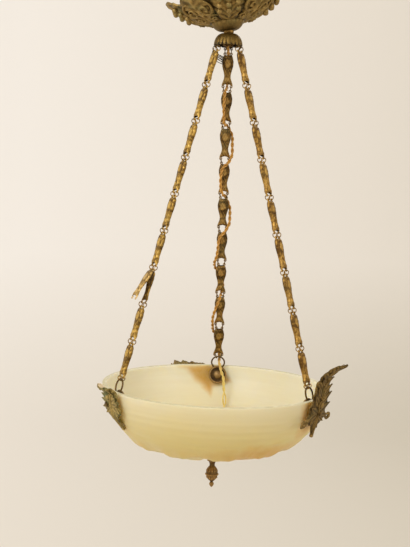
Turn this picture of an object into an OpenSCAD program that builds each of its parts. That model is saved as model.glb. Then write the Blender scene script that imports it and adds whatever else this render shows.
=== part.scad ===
// Pendant bowl light: a satin glass bowl on three chains of stamped brass links,
// under a small fluted dome and a leafy canopy that hides the ceiling hook.
// Millimetres. The origin is on the ceiling, on the pendant's axis. +Z is up, +Y away from the room.

/* [Overall] */
// Ceiling to the rim of the bowl
rim_drop = 715; // [690:5:800]
// Direction of the rear chain, turned from +Y towards +X, in degrees
rear_turn = 3.6; // [0:0.1:20]

/* [Ceiling fixing] */
// Radius of the ceiling plate
plate_r = 32; // [28:1:40]
// Thickness of the ceiling plate
plate_t = 4; // [3:0.5:6]
// Distance between the two screw holes
screw_spacing = 44; // [40:1:48]
// Radius of a screw hole
screw_hole_r = 2.25; // [1.5:0.05:3]
// Radius of the hook's wire
hook_wire_r = 3; // [2.5:0.1:3.5]
// Bend radius of the hook, to the middle of its wire
hook_bend_r = 9; // [8:0.5:11]
// Straight length of the hook's shank under the plate
hook_shank = 13; // [11:1:16]
// Radius of the hanging ring's wire
ring_wire_r = 2; // [1.5:0.1:2.5]
// Bend radius of the hanging ring
ring_bend_r = 13; // [12:0.5:15]
// Radius of the wire of the stem's eye
eye_wire_r = 2.5; // [2:0.1:3]
// Bend radius of the stem's eye
eye_bend_r = 9; // [8:0.5:10]
// Clearance where one loop rests in another
loop_gap = 0.3; // [0.2:0.05:0.5]

/* [Stem, canopy and dome] */
// Outer radius of the hollow stem
stem_r = 5; // [4.5:0.1:5.5]
// Radius of the stem's bore, which the flex runs through
stem_bore_r = 3.6; // [3.2:0.1:3.8]
// Ceiling to the middle of the ball washer between canopy and dome
neck_drop = 97; // [94:1:104]
// Radius of the ball washer
ball_r = 9; // [8.5:0.1:9.5]
// How far the canopy sits out of level, lower on the left, in degrees
canopy_tilt = 8.7; // [0:0.1:9]
// Radius of the canopy at its leaf tips
canopy_r = 103; // [90:1:108]
// Height of the canopy above the ball washer's middle
canopy_h = 64; // [56:1:66]
// Thickness of the canopy casting
canopy_wall = 3; // [2:0.25:4]
// Radius of the round boss under the canopy
boss_r = 27.5; // [25:0.5:32]
// Height of the round boss under the canopy
boss_h = 14.5; // [12:0.5:18]
// Number of leaves round the canopy
leaves = 8; // [6:1:12]
// How far a leaf's middle rib stands out of the canopy
leaf_rib = 3; // [1:0.25:4]
// Radius of the dome at its lower edge
dome_r = 25; // [24:0.5:28]
// Height of the dome
dome_h = 21; // [20:0.5:24]
// Thickness of the dome
dome_wall = 1.2; // [1:0.1:1.6]

/* [Chains] */
// Widest part of a link
link_w = 18; // [15:0.5:20]
// Thickness of a link over its two half shells
link_t = 9.6; // [8:0.2:11]
// Thickness of a half shell's sheet
shell_t = 0.8; // [0.6:0.05:1]
// Mean radius of the small rings between links
jump_r = 4.25; // [4:0.05:5]
// Wire radius of the small rings
jump_wire_r = 0.75; // [0.6:0.05:0.85]
// Radius of the hole in a link's ear
ear_hole_r = 1.3; // [1.2:0.05:1.5]
// Width of metal round an ear's hole
ear_rim = 1.4; // [1.2:0.1:1.8]
// Sideways place of the ears at a link's top
ear_top_u = 5.6; // [5:0.1:6.2]
// Sideways place of the ears at a link's bottom
ear_low_u = 7.2; // [6.6:0.1:8]
// Mean radius of the large ring at a chain's end
end_ring_r = 12.5; // [11.5:0.25:14]
// Wire radius of the large ring
end_ring_wire_r = 1.5; // [1.2:0.05:1.7]
// Distance of the chain plate's lugs from the axis
lug_r = 21.5; // [20:0.25:21.5]
// Opening of the loose half shell, in degrees
loose_angle = 18; // [17:0.5:24]

/* [Bowl] */
// Outer radius of the bowl's rim
bowl_r = 200; // [190:1:215]
// Depth of the bowl outside
bowl_depth = 128; // [122:1:140]
// Depth at which the side turns into the shallow bottom
bowl_turn = 98; // [94:1:104]
// Thickness of the bowl's wall
bowl_wall = 7; // [6:0.5:9]
// Roundness of the bowl's side: higher is squarer
bowl_power = 2.3; // [2.1:0.1:2.6]
// Depth of the bracket bolts below the rim
bolt_drop = 20; // [19:0.5:26]
// Radius of a bracket bolt
bolt_r = 2.5; // [2:0.1:3]
// Thickness of the soft washers against the glass
pad_t = 1; // [0.8:0.1:1.5]

/* [Brackets] */
// Length of a bracket below its bolt
bracket_low = 40; // [36:1:44]
// Length of the left bracket below its bolt
left_low = 48; // [40:1:52]
// Inward bend of the left bracket's drop, in degrees
left_bend = 26; // [0:1:28]
// Sideways shift of the left bracket on its bolt, towards the viewer
left_slip = 13; // [0:0.5:14]
// Sideways shift of the right bracket on its bolt
right_slip = -4; // [-6:0.5:6]
// Length of a bracket's flat part above its bolt
bracket_high = 48; // [44:1:52]
// Thickness of a bracket's plate
bracket_t = 3.5; // [2.5:0.25:4.5]
// Stand-off of a bracket's plate from the glass
bracket_off = 2; // [1.5:0.1:3]
// Sideways turn of the rear bracket on its bolt, in degrees
rear_slew = 79; // [60:1:85]

/* [Finial and lamp] */
// Radius of the rod through the bowl's bottom
rod_r = 3; // [2.5:0.1:3.2]
// Length of the finial
finial_l = 62; // [56:0.5:68]
// Greatest radius of the finial
finial_r = 12.2; // [11:0.1:14]
// Height of the lamp's axis above the bowl's inner floor
lamp_rise = 38; // [37:0.5:42]
// Radius of the bulb
bulb_r = 22.5; // [20:0.5:24]
// Radius of the flex
cord_r = 3; // [2.5:0.1:3]

/* [Hidden] */
$fn = 48;
links = 9;

rear_az = rear_turn;
right_az = rear_turn + 120;
left_az = rear_turn + 240;
azimuths = [left_az, right_az, rear_az];
rim_z = -rim_drop;
eps = 0.01;
run_gap = 0.08;
seat_gap = 0.15;

// Heights of the hook, ring and eye, each resting in the one above
flange_t = 3;
saddle_z = -plate_t - flange_t - hook_shank - 2 * hook_bend_r + hook_wire_r;
ring_top_z = saddle_z + hook_wire_r + ring_wire_r + loop_gap;
ring_z = ring_top_z - ring_bend_r;
ring_low_z = ring_z - ring_bend_r;
eye_top_z = ring_low_z + ring_wire_r + eye_wire_r + loop_gap;
eye_z = eye_top_z - eye_bend_r;

// Heights of the dome and of what hangs in it
neck_z = -neck_drop;
dome_top_z = neck_z - 4;
dome_low_z = dome_top_z - dome_h;
dome_top_r = 8;
disc_t = 2;
disc_z = dome_low_z + 5;
nut_h = 5;
lug_t = 1.6;
lug_z = dome_low_z - 2.5;
stem_low_z = disc_z - nut_h - 1.2;
stem_mouth = [0, 0, stem_low_z];

// The bowl's outline: the side's radius at a depth below the rim, then the bottom's depth at a radius.
// The side's own curve would close at nine sevenths of the depth where it turns into the bottom.
side_depth = bowl_turn * 9 / 7;
function side_r(d) = bowl_r * pow(1 - pow(d / side_depth, 2), 1 / bowl_power);
turn_r = side_r(bowl_turn);
function bottom_d(r) = bowl_depth - (bowl_depth - bowl_turn) * pow(r / turn_r, 1.45);
flat_r = 26;
bowl_low = bottom_d(flat_r);
bowl_floor = bowl_low - bowl_wall;

// The wall frame at a bolt: X along the bolt outwards, Y along the rim, Z up the wall
bolt_at_r = side_r(bolt_drop);
bolt_at_z = rim_z - bolt_drop;
wall_slope = atan((side_r(bolt_drop - 5) - side_r(bolt_drop + 5)) / 10);
pad_gap = 0.4;
pad_r = 6;
boss_v = 16;
strip_t = 2;
strip_w = -bowl_wall - pad_gap - pad_t - strip_t;
hook_v = 13;
wire_seat = 0.35;
curl_r = end_ring_wire_r + wire_seat;
hook_w = strip_w - curl_r;
hook_at_r = bolt_at_r + hook_w * cos(wall_slope) + hook_v * sin(wall_slope);
hook_at_z = bolt_at_z - hook_w * sin(wall_slope) + hook_v * cos(wall_slope);

// The chain's line from a lug's hole to the end ring's lowest wire
span_r = hook_at_r - lug_r;
span_z = lug_z - hook_at_z;
lean = atan2(span_r, span_z);
span = norm([span_r, span_z]);
ear_drop = jump_r * cos(asin((ear_low_u - ear_top_u) / (2 * jump_r)));
end_u = 4;
end_reach = 2 * jump_r - jump_wire_r - end_ring_wire_r - wire_seat;
end_drop = sqrt(pow(end_reach, 2) - pow(ear_low_u - end_u, 2)) - ear_drop;
end_ring_t = end_drop + sqrt(pow(end_ring_r, 2) - pow(end_u, 2));
pitch = (span - ear_drop - end_ring_t - end_ring_r) / links;
ear_r = ear_hole_r + ear_rim;
body_l = pitch - 2 * (ear_drop + ear_hole_r + ear_rim / 2);
body_top = ear_drop + ear_hole_r + ear_rim / 2;
crown_r = (pow(link_w / 2, 2) + pow(link_t / 2 - 1.5, 2)) / (link_t - 3);
loose_link = 7;

finial_top_z = rim_z - bowl_low - 0.3;
lamp_z = rim_z - bowl_floor + lamp_rise;
holder_y = 50;

module at_azimuth(az) rotate([0, 0, 90 - az]) children();
module at_wall(az)
    at_azimuth(az) translate([bolt_at_r, 0, bolt_at_z]) rotate([0, wall_slope, 0]) children();
module at_chain(az, t)
    at_azimuth(az) translate([lug_r, 0, lug_z]) rotate([0, -lean, 0]) translate([0, 0, -t]) children();
module along_x() rotate([0, 90, 0]) children();
module upright(t) rotate([90, 0, 90]) linear_extrude(t) children();
module torus(r, wire) rotate_extrude() translate([r, 0]) circle(wire, $fn = 24);
module tube(r, bore, h) {
    difference() {
        cylinder(r = r, h = h);
        translate([0, 0, -1]) cylinder(r = bore, h = h + 2);
    }
}
module hex_nut(flats, bore, h) {
    difference() {
        cylinder(r = flats / sqrt(3), h = h, $fn = 6);
        translate([0, 0, -1]) cylinder(r = bore, h = h + 2);
    }
}

module ceiling_plate() {
    color("dimgray") difference() {
        translate([0, 0, -plate_t]) cylinder(r = plate_r, h = plate_t);
        for (side = [-1, 1])
            translate([0, side * screw_spacing / 2, -plate_t - 1])
                cylinder(r = screw_hole_r, h = plate_t + 2);
    }
}

module ceiling_hook() {
    arc_z = saddle_z + hook_bend_r;
    color("darkgoldenrod") {
        translate([0, 0, -plate_t - flange_t]) cylinder(r = 8, h = flange_t);
        translate([0, 0, arc_z + hook_bend_r]) cylinder(r = hook_wire_r, h = -arc_z - hook_bend_r - plate_t);
        translate([0, 0, arc_z]) rotate([90, 0, 0]) rotate([0, 0, 90])
            rotate_extrude(angle = 290) translate([hook_bend_r, 0]) circle(hook_wire_r, $fn = 24);
    }
}

module terminal_block() {
    block = [12, 18, 9];
    at_x = 12;
    color("ivory") difference() {
        translate([at_x, -block[1] / 2, -plate_t - block[2]]) cube(block);
        for (way = [-1, 1])
            translate([at_x - 1, way * 4.5, -plate_t - block[2] / 2]) along_x()
                cylinder(r = 1.8, h = block[0] + 2);
    }
}

module hanging_ring() {
    color("darkgoldenrod") translate([0, 0, ring_z]) along_x() torus(ring_bend_r, ring_wire_r);
}

module stem() {
    stem_top_z = eye_z - eye_bend_r;
    color("peru") difference() {
        union() {
            translate([0, 0, eye_z]) rotate([90, 0, 0]) torus(eye_bend_r, eye_wire_r);
            translate([0, 0, stem_low_z]) cylinder(r = stem_r, h = stem_top_z - stem_low_z);
        }
        translate([0, 0, stem_low_z - 1]) cylinder(r = stem_bore_r, h = stem_top_z - stem_low_z - 5);
        // Side hole that lets the flex out under the eye
        translate([0, 0, stem_top_z - 12]) rotate([90, 0, 0]) cylinder(r = 2.8, h = stem_r + 1);
    }
}

// The canopy's outer height at a share of the way from its boss to its rim
function dish_h(s) = boss_h + (canopy_h - boss_h) * (0.85 * pow(s, 1.8) + 0.15 * pow(s, 10));
function dish_at(s, out) = [boss_r + s * (canopy_r - boss_r), dish_h(s) - out];
canopy_hole_r = ball_r - 1.8;
bore_r = ball_r + 0.4;
seat_h = sqrt(pow(ball_r, 2) - pow(canopy_hole_r, 2)) + seat_gap;
module canopy() {
    shares = [for (i = [0:10]) i / 10];
    dish = [for (s = shares) dish_at(s, 0)];
    back = [for (i = [10:-1:0])
        [dish[i][0] - canopy_wall, min(dish[i][1] + canopy_wall * 0.7, canopy_h)]];
    seat = [[canopy_hole_r, seat_h], [bore_r, 2.6], [bore_r, 0.6], [bore_r + 0.6, 0.6]];
    boss = [for (p = [[0.47, 0.055], [0.64, 0.15], [0.78, 0.32], [0.9, 0.55]])
        [p[0] * boss_r, p[1] * boss_h]];
    hollow = [[boss_r * 0.66, seat_h + 5], [boss_r * 0.45, seat_h + 2.4], [canopy_hole_r, seat_h + 2.4]];
    ribs = [for (i = [0:5]) 0.02 + 0.19 * i];
    color("darkolivegreen") translate([0, 0, neck_z]) rotate([0, -canopy_tilt, 0]) {
        difference() {
            rotate_extrude() polygon(concat(seat, boss, dish, back, hollow));
            // Scallops between the leaf tips
            for (i = [0:leaves - 1])
                rotate([0, 0, 360 * (i + 0.5) / leaves]) translate([canopy_r * 0.75, 0, canopy_h + 3])
                    along_x() cylinder(r = canopy_r * 0.17, h = canopy_r);
        }
        // A rib down the middle of each leaf
        for (i = [0:leaves - 1]) rotate([90, 0, 360 * i / leaves]) linear_extrude(8, center = true)
            polygon(concat([for (s = ribs) dish_at(s, leaf_rib)],
                [for (k = [5:-1:0]) dish_at(ribs[k], -1.5)]));
    }
}

module ball_washer() {
    color("peru") translate([0, 0, neck_z]) difference() {
        intersection() {
            sphere(ball_r);
            translate([0, 0, dome_top_z - neck_z]) cylinder(r = ball_r + 1, h = 2 * ball_r);
        }
        translate([0, 0, -ball_r]) cylinder(r = stem_r + run_gap, h = 2 * ball_r + 1);
    }
}

module dome() {
    steps = [for (i = [0:6]) 15 * i];
    function shell(wall) = [for (a = steps)
        [dome_top_r - wall + (dome_r - dome_top_r) * pow(sin(a), 0.85),
            dome_top_z - wall - (dome_h - wall) * (1 - cos(a))]];
    outside = shell(0);
    inside = shell(dome_wall);
    hole = stem_r + run_gap;
    color("olive") rotate_extrude() polygon(concat([[hole, dome_top_z]], outside,
        [for (i = [6:-1:0]) inside[i]], [[hole, dome_top_z - dome_wall]]));
}

// Half the thickness of an ear belongs to each half shell
module ears(u, z) {
    for (way = [-1, 1])
        translate([0, way * u, z]) along_x() difference() {
            cylinder(r = ear_r, h = shell_t);
            translate([0, 0, -1]) cylinder(r = ear_hole_r, h = shell_t + 2);
        }
}

module chain_plate() {
    hub_r = dome_top_r - dome_wall - 0.3;
    color("olive") difference() {
        union() {
            translate([0, 0, disc_z]) cylinder(r = lug_r + lug_t / 2, h = disc_t);
            translate([0, 0, disc_z]) cylinder(r = hub_r, h = dome_top_z - dome_wall - seat_gap - disc_z);
            for (az = azimuths) at_azimuth(az) difference() {
                union() {
                    translate([lug_r - lug_t / 2, -ear_top_u, lug_z])
                        cube([lug_t, 2 * ear_top_u, disc_z + 0.3 - lug_z]);
                    for (way = [-1, 1])
                        translate([lug_r - lug_t / 2, way * ear_top_u, lug_z]) along_x()
                            cylinder(r = ear_hole_r + 1.2, h = lug_t);
                }
                for (way = [-1, 1])
                    translate([lug_r - lug_t, way * ear_top_u, lug_z]) along_x()
                        cylinder(r = ear_hole_r, h = 2 * lug_t);
                // The lug is cut away between its holes
                translate([lug_r - lug_t, -ear_top_u + ear_r, lug_z - ear_r])
                    cube([2 * lug_t, 2 * (ear_top_u - ear_r), ear_r * 1.6]);
            }
        }
        translate([0, 0, disc_z - 1]) cylinder(r = stem_r + run_gap, h = dome_h + 2);
    }
}

module plate_nut() {
    color("peru") translate([0, 0, disc_z - seat_gap - nut_h]) hex_nut(16, stem_r + eps, nut_h);
}

// Half width of a link at a share of its length
function link_half(s) = link_w / 18 * lookup(s, [[0, 6.2], [0.08, 7.6], [0.22, 9], [0.38, 8.4],
    [0.55, 6.2], [0.68, 5], [0.78, 5.4], [0.9, 7.4], [1, 8.8]]);
module link_outline(inset) {
    shares = [for (i = [0:12]) i / 12];
    z_at = [for (s = shares) -inset - s * (body_l - 2 * inset)];
    right = [for (i = [0:12]) [link_half(shares[i]) - inset, z_at[i]]];
    left = [for (i = [12:-1:0]) [inset - link_half(shares[i]), z_at[i]]];
    polygon(concat([[0, 0.8 - inset]], right, [[0, 3 + inset - body_l]], left));
}
module crowned(inset, low) {
    intersection() {
        translate([low, 0, 0]) rotate([90, 0, 90]) linear_extrude(link_t) link_outline(inset);
        translate([link_t / 2 - crown_r, 0, -body_l - 1])
            cylinder(r = crown_r - inset, h = body_l + 3, $fn = 96);
    }
}
// One stamped half of a link, hollow behind, with its share of the four ears
module half_shell() {
    translate([0, 0, -body_top]) difference() {
        crowned(0, 0);
        crowned(shell_t, -1);
    }
    ears(ear_top_u, -ear_drop);
    ears(ear_low_u, ear_drop - pitch);
}
module link(az, number, halves) {
    at_chain(az, ear_drop + (number - 1) * pitch) {
        mirror([1, 0, 0]) half_shell();
        if (halves == 2) half_shell();
    }
}
module left_link(number) color("goldenrod") link(left_az, number, number == loose_link ? 1 : 2);
module right_link(number) color("goldenrod") link(right_az, number, 2);
module rear_link(number) color("darkgoldenrod") link(rear_az, number, 2);

// The front half of one link has come away at its lower rings and swung outwards
loose_axis_t = ear_drop - ear_r;
module loose_half_shell() {
    color("goldenrod") at_chain(left_az, ear_drop + (loose_link - 1) * pitch)
        translate([seat_gap, 0, -loose_axis_t]) rotate([0, -loose_angle, 0]) translate([0, 0, loose_axis_t])
            half_shell();
}

// A ring that runs from the hole above to the hole or wire below
module jump_ring(az, t, high_u, low_u, drop) {
    for (way = [-1, 1])
        at_chain(az, t) translate([0, way * (high_u + low_u) / 2, 0])
            rotate([-way * atan2(high_u - low_u, drop), 0, 0]) rotate([90, 0, 0]) torus(jump_r, jump_wire_r);
}
module small_rings(az) {
    jump_ring(az, ear_drop, ear_top_u, ear_top_u, 2 * ear_drop);
    for (i = [1:links - 1]) jump_ring(az, ear_drop + i * pitch, ear_low_u, ear_top_u, 2 * ear_drop);
    slant = atan2(ear_low_u - end_u, ear_drop + end_drop);
    for (way = [-1, 1])
        at_chain(az, links * pitch) translate([0, way * ear_low_u, 0]) rotate([-way * slant, 0, 0])
            translate([0, 0, -jump_r]) rotate([90, 0, 0]) torus(jump_r, jump_wire_r);
}
module left_small_rings() color("goldenrod") small_rings(left_az);
module right_small_rings() color("goldenrod") small_rings(right_az);
module rear_small_rings() color("darkgoldenrod") small_rings(rear_az);

module end_rings() {
    color("saddlebrown") for (az = azimuths)
        at_chain(az, ear_drop + links * pitch + end_ring_t) along_x() torus(end_ring_r, end_ring_wire_r);
}

bowl_bolt_r = bolt_r + 1;
module bowl() {
    side_steps = 12;
    side = [for (i = [0:side_steps]) let (d = bowl_turn * i / side_steps) [side_r(d), -d]];
    bottom = [for (i = [1:7]) let (r = turn_r + (flat_r - turn_r) * i / 7) [r, -bottom_d(r)]];
    outside = concat(side, bottom);
    last = len(outside) - 1;
    // The inside lies one wall thickness in from the outside, square to it
    inside = [for (i = [last:-1:0])
        let (along = outside[min(i + 1, last)] - outside[max(i - 1, 0)])
        i == last ? [flat_r, -bowl_floor] : outside[i] + bowl_wall * [along[1], -along[0]] / norm(along)];
    lip = 1.5;
    rim = [[bowl_r - bowl_wall + lip, lip * 0.6], [bowl_r - lip, lip * 0.6]];
    color("lightyellow", 0.8) difference() {
        translate([0, 0, rim_z]) rotate_extrude($fn = 96) polygon(concat(
            [[rod_r + 1, -bowl_floor], [rod_r + 1, -bowl_low]],
            [for (i = [last:-1:0]) outside[i]], [rim[1], rim[0]], [for (i = [last:-1:0]) inside[i]]));
        for (az = azimuths) at_wall(az) translate([-2 * bowl_wall, 0, 0]) along_x()
            cylinder(r = bowl_bolt_r, h = 4 * bowl_wall);
    }
}

plate_w = pad_gap + pad_t + bracket_off;
drop_z = -18;
body_w = 42;
left_high = 23;
left_width = 1.1;
right_width = 1.15;
rear_width = 0.66;
rib_t = 2.5;
// Outline of a bracket's body: leaf lobes above, a waist, and a side curl on each side that is named
module bracket_outline(high, wide, curls) {
    lobes = [[21, high], [25, high * 0.7], [22, high * 0.5], [29, high * 0.28], [25, 1], [31, -6],
        [28, -13], [20, -15], [16, drop_z - 3]];
    half = [for (p = lobes) [p[0] * wide, p[1]]];
    polygon(concat(half, [for (i = [8:-1:0]) [-half[i][0], half[i][1]]]));
    for (side = curls) {
        translate([side * 33 * wide, -10]) square([16, 6], center = true);
        translate([side * 42 * wide, -12]) circle(5.5);
    }
}
// The pointed drop under the body, with a raised middle and a round end
module drop(reach) {
    upright(bracket_t) {
        polygon([[15, 2], [9, -4], [7, -reach / 2], [2, -reach], [-2, -reach], [-7, -reach / 2], [-9, -4],
            [-15, 2]]);
        translate([0, -reach]) circle(3.5);
    }
    upright(bracket_t + rib_t) polygon([[4, 1], [2, -reach], [-2, -reach], [-4, 1]]);
}
// The upper leaf bends outwards in flat stretches: each is a length, an angle from the body and an end width
module upper_leaf(stretches, width, i) {
    reach = stretches[i][0];
    end_w = stretches[i][2];
    rotate([0, stretches[i][1], 0]) {
        rotate([90, 0, 90]) linear_extrude(bracket_t, center = true)
            polygon([[-width / 2, 0], [width / 2, 0], [width / 2 + 1, reach * 0.55],
                [end_w / 2 - 1, reach * 0.7], [end_w / 2, reach], [-end_w / 2, reach],
                [1 - end_w / 2, reach * 0.7], [-width / 2 - 1, reach * 0.55]]);
        // A bead covers each fold, a little thicker than the sheet
        rotate([90, 0, 0]) cylinder(r = bracket_t / 2 + 0.3, h = width - 1, center = true);
        translate([bracket_t / 2, 0, 0]) cylinder(r = 1.8, h = reach);
    }
    if (i + 1 < len(stretches))
        translate([reach * sin(stretches[i][1]), 0, reach * cos(stretches[i][1])])
            upper_leaf(stretches, end_w, i + 1);
}
// The casting about its own middle: plate, drop, raised rib, round boss, side bosses and upper leaf
module casting(high, low, bend, wide, curls, stretches) {
    translate([plate_w, 0, 0]) upright(bracket_t) bracket_outline(high, wide, curls);
    translate([plate_w, 0, drop_z]) rotate([0, bend, 0]) drop(low + drop_z);
    translate([plate_w + bracket_t - eps, 0, 0]) upright(rib_t)
        polygon([[-4, high - 1], [4, high - 1], [7, 8], [6, -6], [4, drop_z], [-4, drop_z], [-6, -6],
            [-7, 8]]);
    translate([plate_w, 0, boss_v]) along_x() cylinder(r = 7.5, h = bracket_t + 6);
    for (side = curls)
        translate([plate_w, side * 42 * wide, -12]) along_x() cylinder(r = 3.5, h = bracket_t + 2);
    translate([plate_w + bracket_t / 2, 0, high]) upper_leaf(stretches, body_w * wide, 0);
}
// Its bolt need not go through its middle: a round foot carries the bolt's head through the plate
module bracket(high, low, bend, wide, slip, curls, stretches) {
    foot_w = pad_gap + pad_t;
    foot_l = plate_w + bracket_t + rib_t - foot_w;
    difference() {
        union() {
            translate([0, slip, 0]) casting(high, low, bend, wide, curls, stretches);
            translate([foot_w, 0, 0]) along_x() cylinder(r = pad_r, h = foot_l);
        }
        along_x() cylinder(r = bolt_r + run_gap, h = 40);
    }
}
long_leaf = [[16, 8, 36], [19, 31, 26], [25, 49, 5]];
slim_leaf = [[16, 8, 24], [19, 31, 18], [25, 49, 5]];
short_leaf = [[11, 38, 32], [9, 76, 12]];
// The left bracket has lost its side curls
module left_bracket() color("darkolivegreen") at_wall(left_az)
    bracket(left_high, left_low, left_bend, left_width, left_slip, [], short_leaf);
module right_bracket() color("darkolivegreen") at_wall(right_az)
    bracket(bracket_high, bracket_low, 0, right_width, right_slip, [-1, 1], long_leaf);
// The rear bracket is turned sideways, narrower, and only its lower curl is left
module rear_bracket() color("darkolivegreen") at_wall(rear_az) rotate([-rear_slew, 0, 0])
    bracket(bracket_high, bracket_low, 0, rear_width, 0, [1], slim_leaf);

// Bent strips inside the rim: each end ring hangs the bowl by the curl of one
strip_half = 4;
curl_half = 2.2;
module hanger_hooks() {
    color("saddlebrown") for (az = azimuths) at_wall(az) {
        difference() {
            union() {
                translate([strip_w, -strip_half, -9]) cube([strip_t, 2 * strip_half, 15]);
                translate([strip_w, -curl_half, 0]) cube([strip_t, 2 * curl_half, hook_v]);
            }
            translate([strip_w - 1, 0, 0]) along_x() cylinder(r = bolt_r + run_gap, h = strip_t + 2);
        }
        translate([hook_w, 0, hook_v]) rotate([90, 0, 0]) rotate_extrude(angle = 180)
            translate([curl_r + strip_t / 2, 0]) square([strip_t, 2 * curl_half], center = true);
        translate([hook_w - curl_r - strip_t, -curl_half, hook_v - 5]) cube([strip_t, 2 * curl_half, 5]);
    }
}

head_w = plate_w + bracket_t + rib_t + seat_gap;
rosette_w = strip_w - seat_gap;
hub_l = 2 * (curl_r + strip_t) - strip_t + 0.6;
rosette_l = hub_l + 4;
module bracket_bolts() {
    color("saddlebrown") for (az = azimuths) at_wall(az) {
        translate([rosette_w - rosette_l, 0, 0]) along_x()
            cylinder(r = bolt_r, h = head_w + rosette_l - rosette_w);
        translate([head_w, 0, 0]) along_x() cylinder(r = 4.5, h = 1.5);
        translate([head_w + 1.5 - eps, 0, 0]) along_x() cylinder(r1 = 4.5, r2 = 2.8, h = 1.2);
    }
}

module bracket_pads() {
    color("dimgray") for (az = azimuths) at_wall(az) for (w = [pad_gap, -bowl_wall - pad_gap - pad_t])
        translate([w, 0, 0]) along_x() tube(pad_r, bolt_r + run_gap, pad_t);
}

// Cup nuts that hide the hooks: a hub, then a dished disc with a beaded edge
rosette_r = 17.5;
module inner_rosettes() {
    color("saddlebrown") for (az = azimuths) at_wall(az) translate([rosette_w, 0, 0]) rotate([0, -90, 0])
        rotate_extrude() polygon([[bolt_r + eps, 0], [5.5, 0], [5.5, hub_l + 1.5],
            [rosette_r - 3, hub_l + 1.5], [rosette_r - 2, hub_l], [rosette_r, hub_l],
            [rosette_r, hub_l + 2.2], [rosette_r - 2.5, hub_l + 4], [rosette_r - 5, hub_l + 2.8],
            [7, hub_l + 3], [5.5, hub_l + 5.5], [bolt_r + eps, hub_l + 5.5]]);
}

washer_t = 7;
foot_t = 2;
rod_nut_h = 5;
rod_top_z = rim_z - bowl_floor + washer_t + foot_t + rod_nut_h + 2;
module bottom_rod() {
    color("peru") translate([0, 0, finial_top_z - 18]) cylinder(r = rod_r, h = rod_top_z - finial_top_z + 18);
}
module rod_washers() {
    color("peru") translate([0, 0, rim_z - bowl_floor]) tube(14, rod_r + run_gap, washer_t);
}
module rod_nut() {
    color("peru") translate([0, 0, rim_z - bowl_floor + washer_t + foot_t])
        hex_nut(11, rod_r + eps, rod_nut_h);
}
module finial() {
    k = finial_l / 62;
    w = finial_r / 12.2;
    // A cup against the glass, then a flange, a neck, a beaded ball and a bud
    turned = [[17, 0], [17, 2], [13.5, 3.5], [10, 8], [8, 10], [9, 10.4], [9, 13.2], [6, 15.2], [4.6, 21.2],
        [6.5, 24.2], [9.4, 28.4], [10.4, 32.4], [10.5, 35.8], [12.2, 37.7], [10.4, 39.7], [8.6, 45.2],
        [4, 49.7], [2.3, 51.2], [3.5, 53.2], [4.3, 55.2], [3.3, 58.2], [1.2, 61.2], [0.4, 62], [0, 62]];
    bore = rod_r + run_gap;
    color("darkgoldenrod") translate([0, 0, finial_top_z]) rotate_extrude()
        polygon(concat([[bore, 0]], [for (p = turned) [p[0] * w, -p[1] * k]], [[0, -19], [bore, -19]]));
}

module lamp_bracket() {
    half = 9;
    foot_z = rim_z - bowl_floor + washer_t;
    color("silver") difference() {
        union() {
            translate([-half, -half, foot_z]) cube([2 * half, holder_y + 2 + half, foot_t]);
            translate([-half, holder_y, foot_z]) cube([2 * half, 2, lamp_z + half - foot_z]);
        }
        translate([0, 0, foot_z - 1]) cylinder(r = rod_r + run_gap, h = foot_t + 2);
        translate([0, holder_y - 1, lamp_z]) rotate([-90, 0, 0]) cylinder(r = 5 + run_gap, h = 4);
    }
}

// The holder's axis lies along Y: nipple through the bracket, cap, then the skirt the bulb screws into
holder_l = 44;
socket_r = 13.4;
module lampholder() {
    color("darkgoldenrod") translate([0, holder_y, lamp_z]) rotate([90, 0, 0]) {
        difference() {
            rotate_extrude() polygon([[0, -10], [5, -10], [5, -6], [8, -6], [8, -2 - eps], [5, -2 - eps],
                [5, eps], [12, eps], [16, 4], [16, 18], [18, 19], [18, holder_l], [0, holder_l]]);
            translate([0, 0, 18]) cylinder(r = socket_r, h = holder_l);
            translate([0, 0, -11]) cylinder(r = cord_r + 0.4, h = 20);
        }
    }
}

module bulb() {
    bulb_y = holder_y - holder_l - sqrt(pow(bulb_r, 2) - pow(socket_r - 0.6, 2));
    neck_r = 12;
    neck = bulb_y + sqrt(pow(bulb_r, 2) - pow(neck_r, 2));
    cap_y = holder_y - 20;
    color("white") {
        translate([0, bulb_y, lamp_z]) sphere(bulb_r, $fn = 64);
        translate([0, cap_y, lamp_z]) rotate([90, 0, 0]) cylinder(r = neck_r, h = cap_y - neck);
        translate([0, cap_y, lamp_z]) rotate([90, 0, 0]) cylinder(r = socket_r - run_gap, h = 22);
    }
}

// The flex leaves the stem, winds down the rear chain and drops into the bowl to the lampholder.
// Along the chain a point is distance from its first rings, sideways place and distance outwards.
along_chain = [[2, 0, -8], [2, 0, 0], [2, 0, 6], [7, 0, 11], [18, 0, 10], [35, 0, 10], [52, 0, 10],
    [62, 0, 9], [65, 0, 3], [66, 1, -4], [70, 3, -10], [85, 4, -10], [105, 4, -10], [124, 3, -10],
    [130, 1, -5], [131, 0, 2], [132, -1, 8], [138, -5, 11], [152, -12, 8], [168, -13, 0],
    [184, -13, -4], [197, -7, -10],
    [208, 3, -10], [226, 6, -10], [246, 5, -10], [256, 2, -10], [261, 0, -4], [262, -1, 3], [264, -2, 9],
    [270, -5, 11], [286, -12, 7], [302, -13, 0], [316, -12, -5], [328, -5, -10], [342, 5, -10], [360, 7, -10],
    [378, 9, -9], [392, 13, -4], [404, 12, 5], [420, 5, 11], [438, -4, 11], [450, -3, 11], [457, -2, 6],
    [459, -1, -2], [462, 0, -9], [470, 3, -11], [484, 8, -10], [504, 13, -8], [522, 13, -2], [536, 12, 6],
    [550, 5, 11], [568, 0, 11], [584, -1, 11], [594, -2, 9], [600, -2, 4], [603, -3, -3], [606, -5, -9]];
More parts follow.
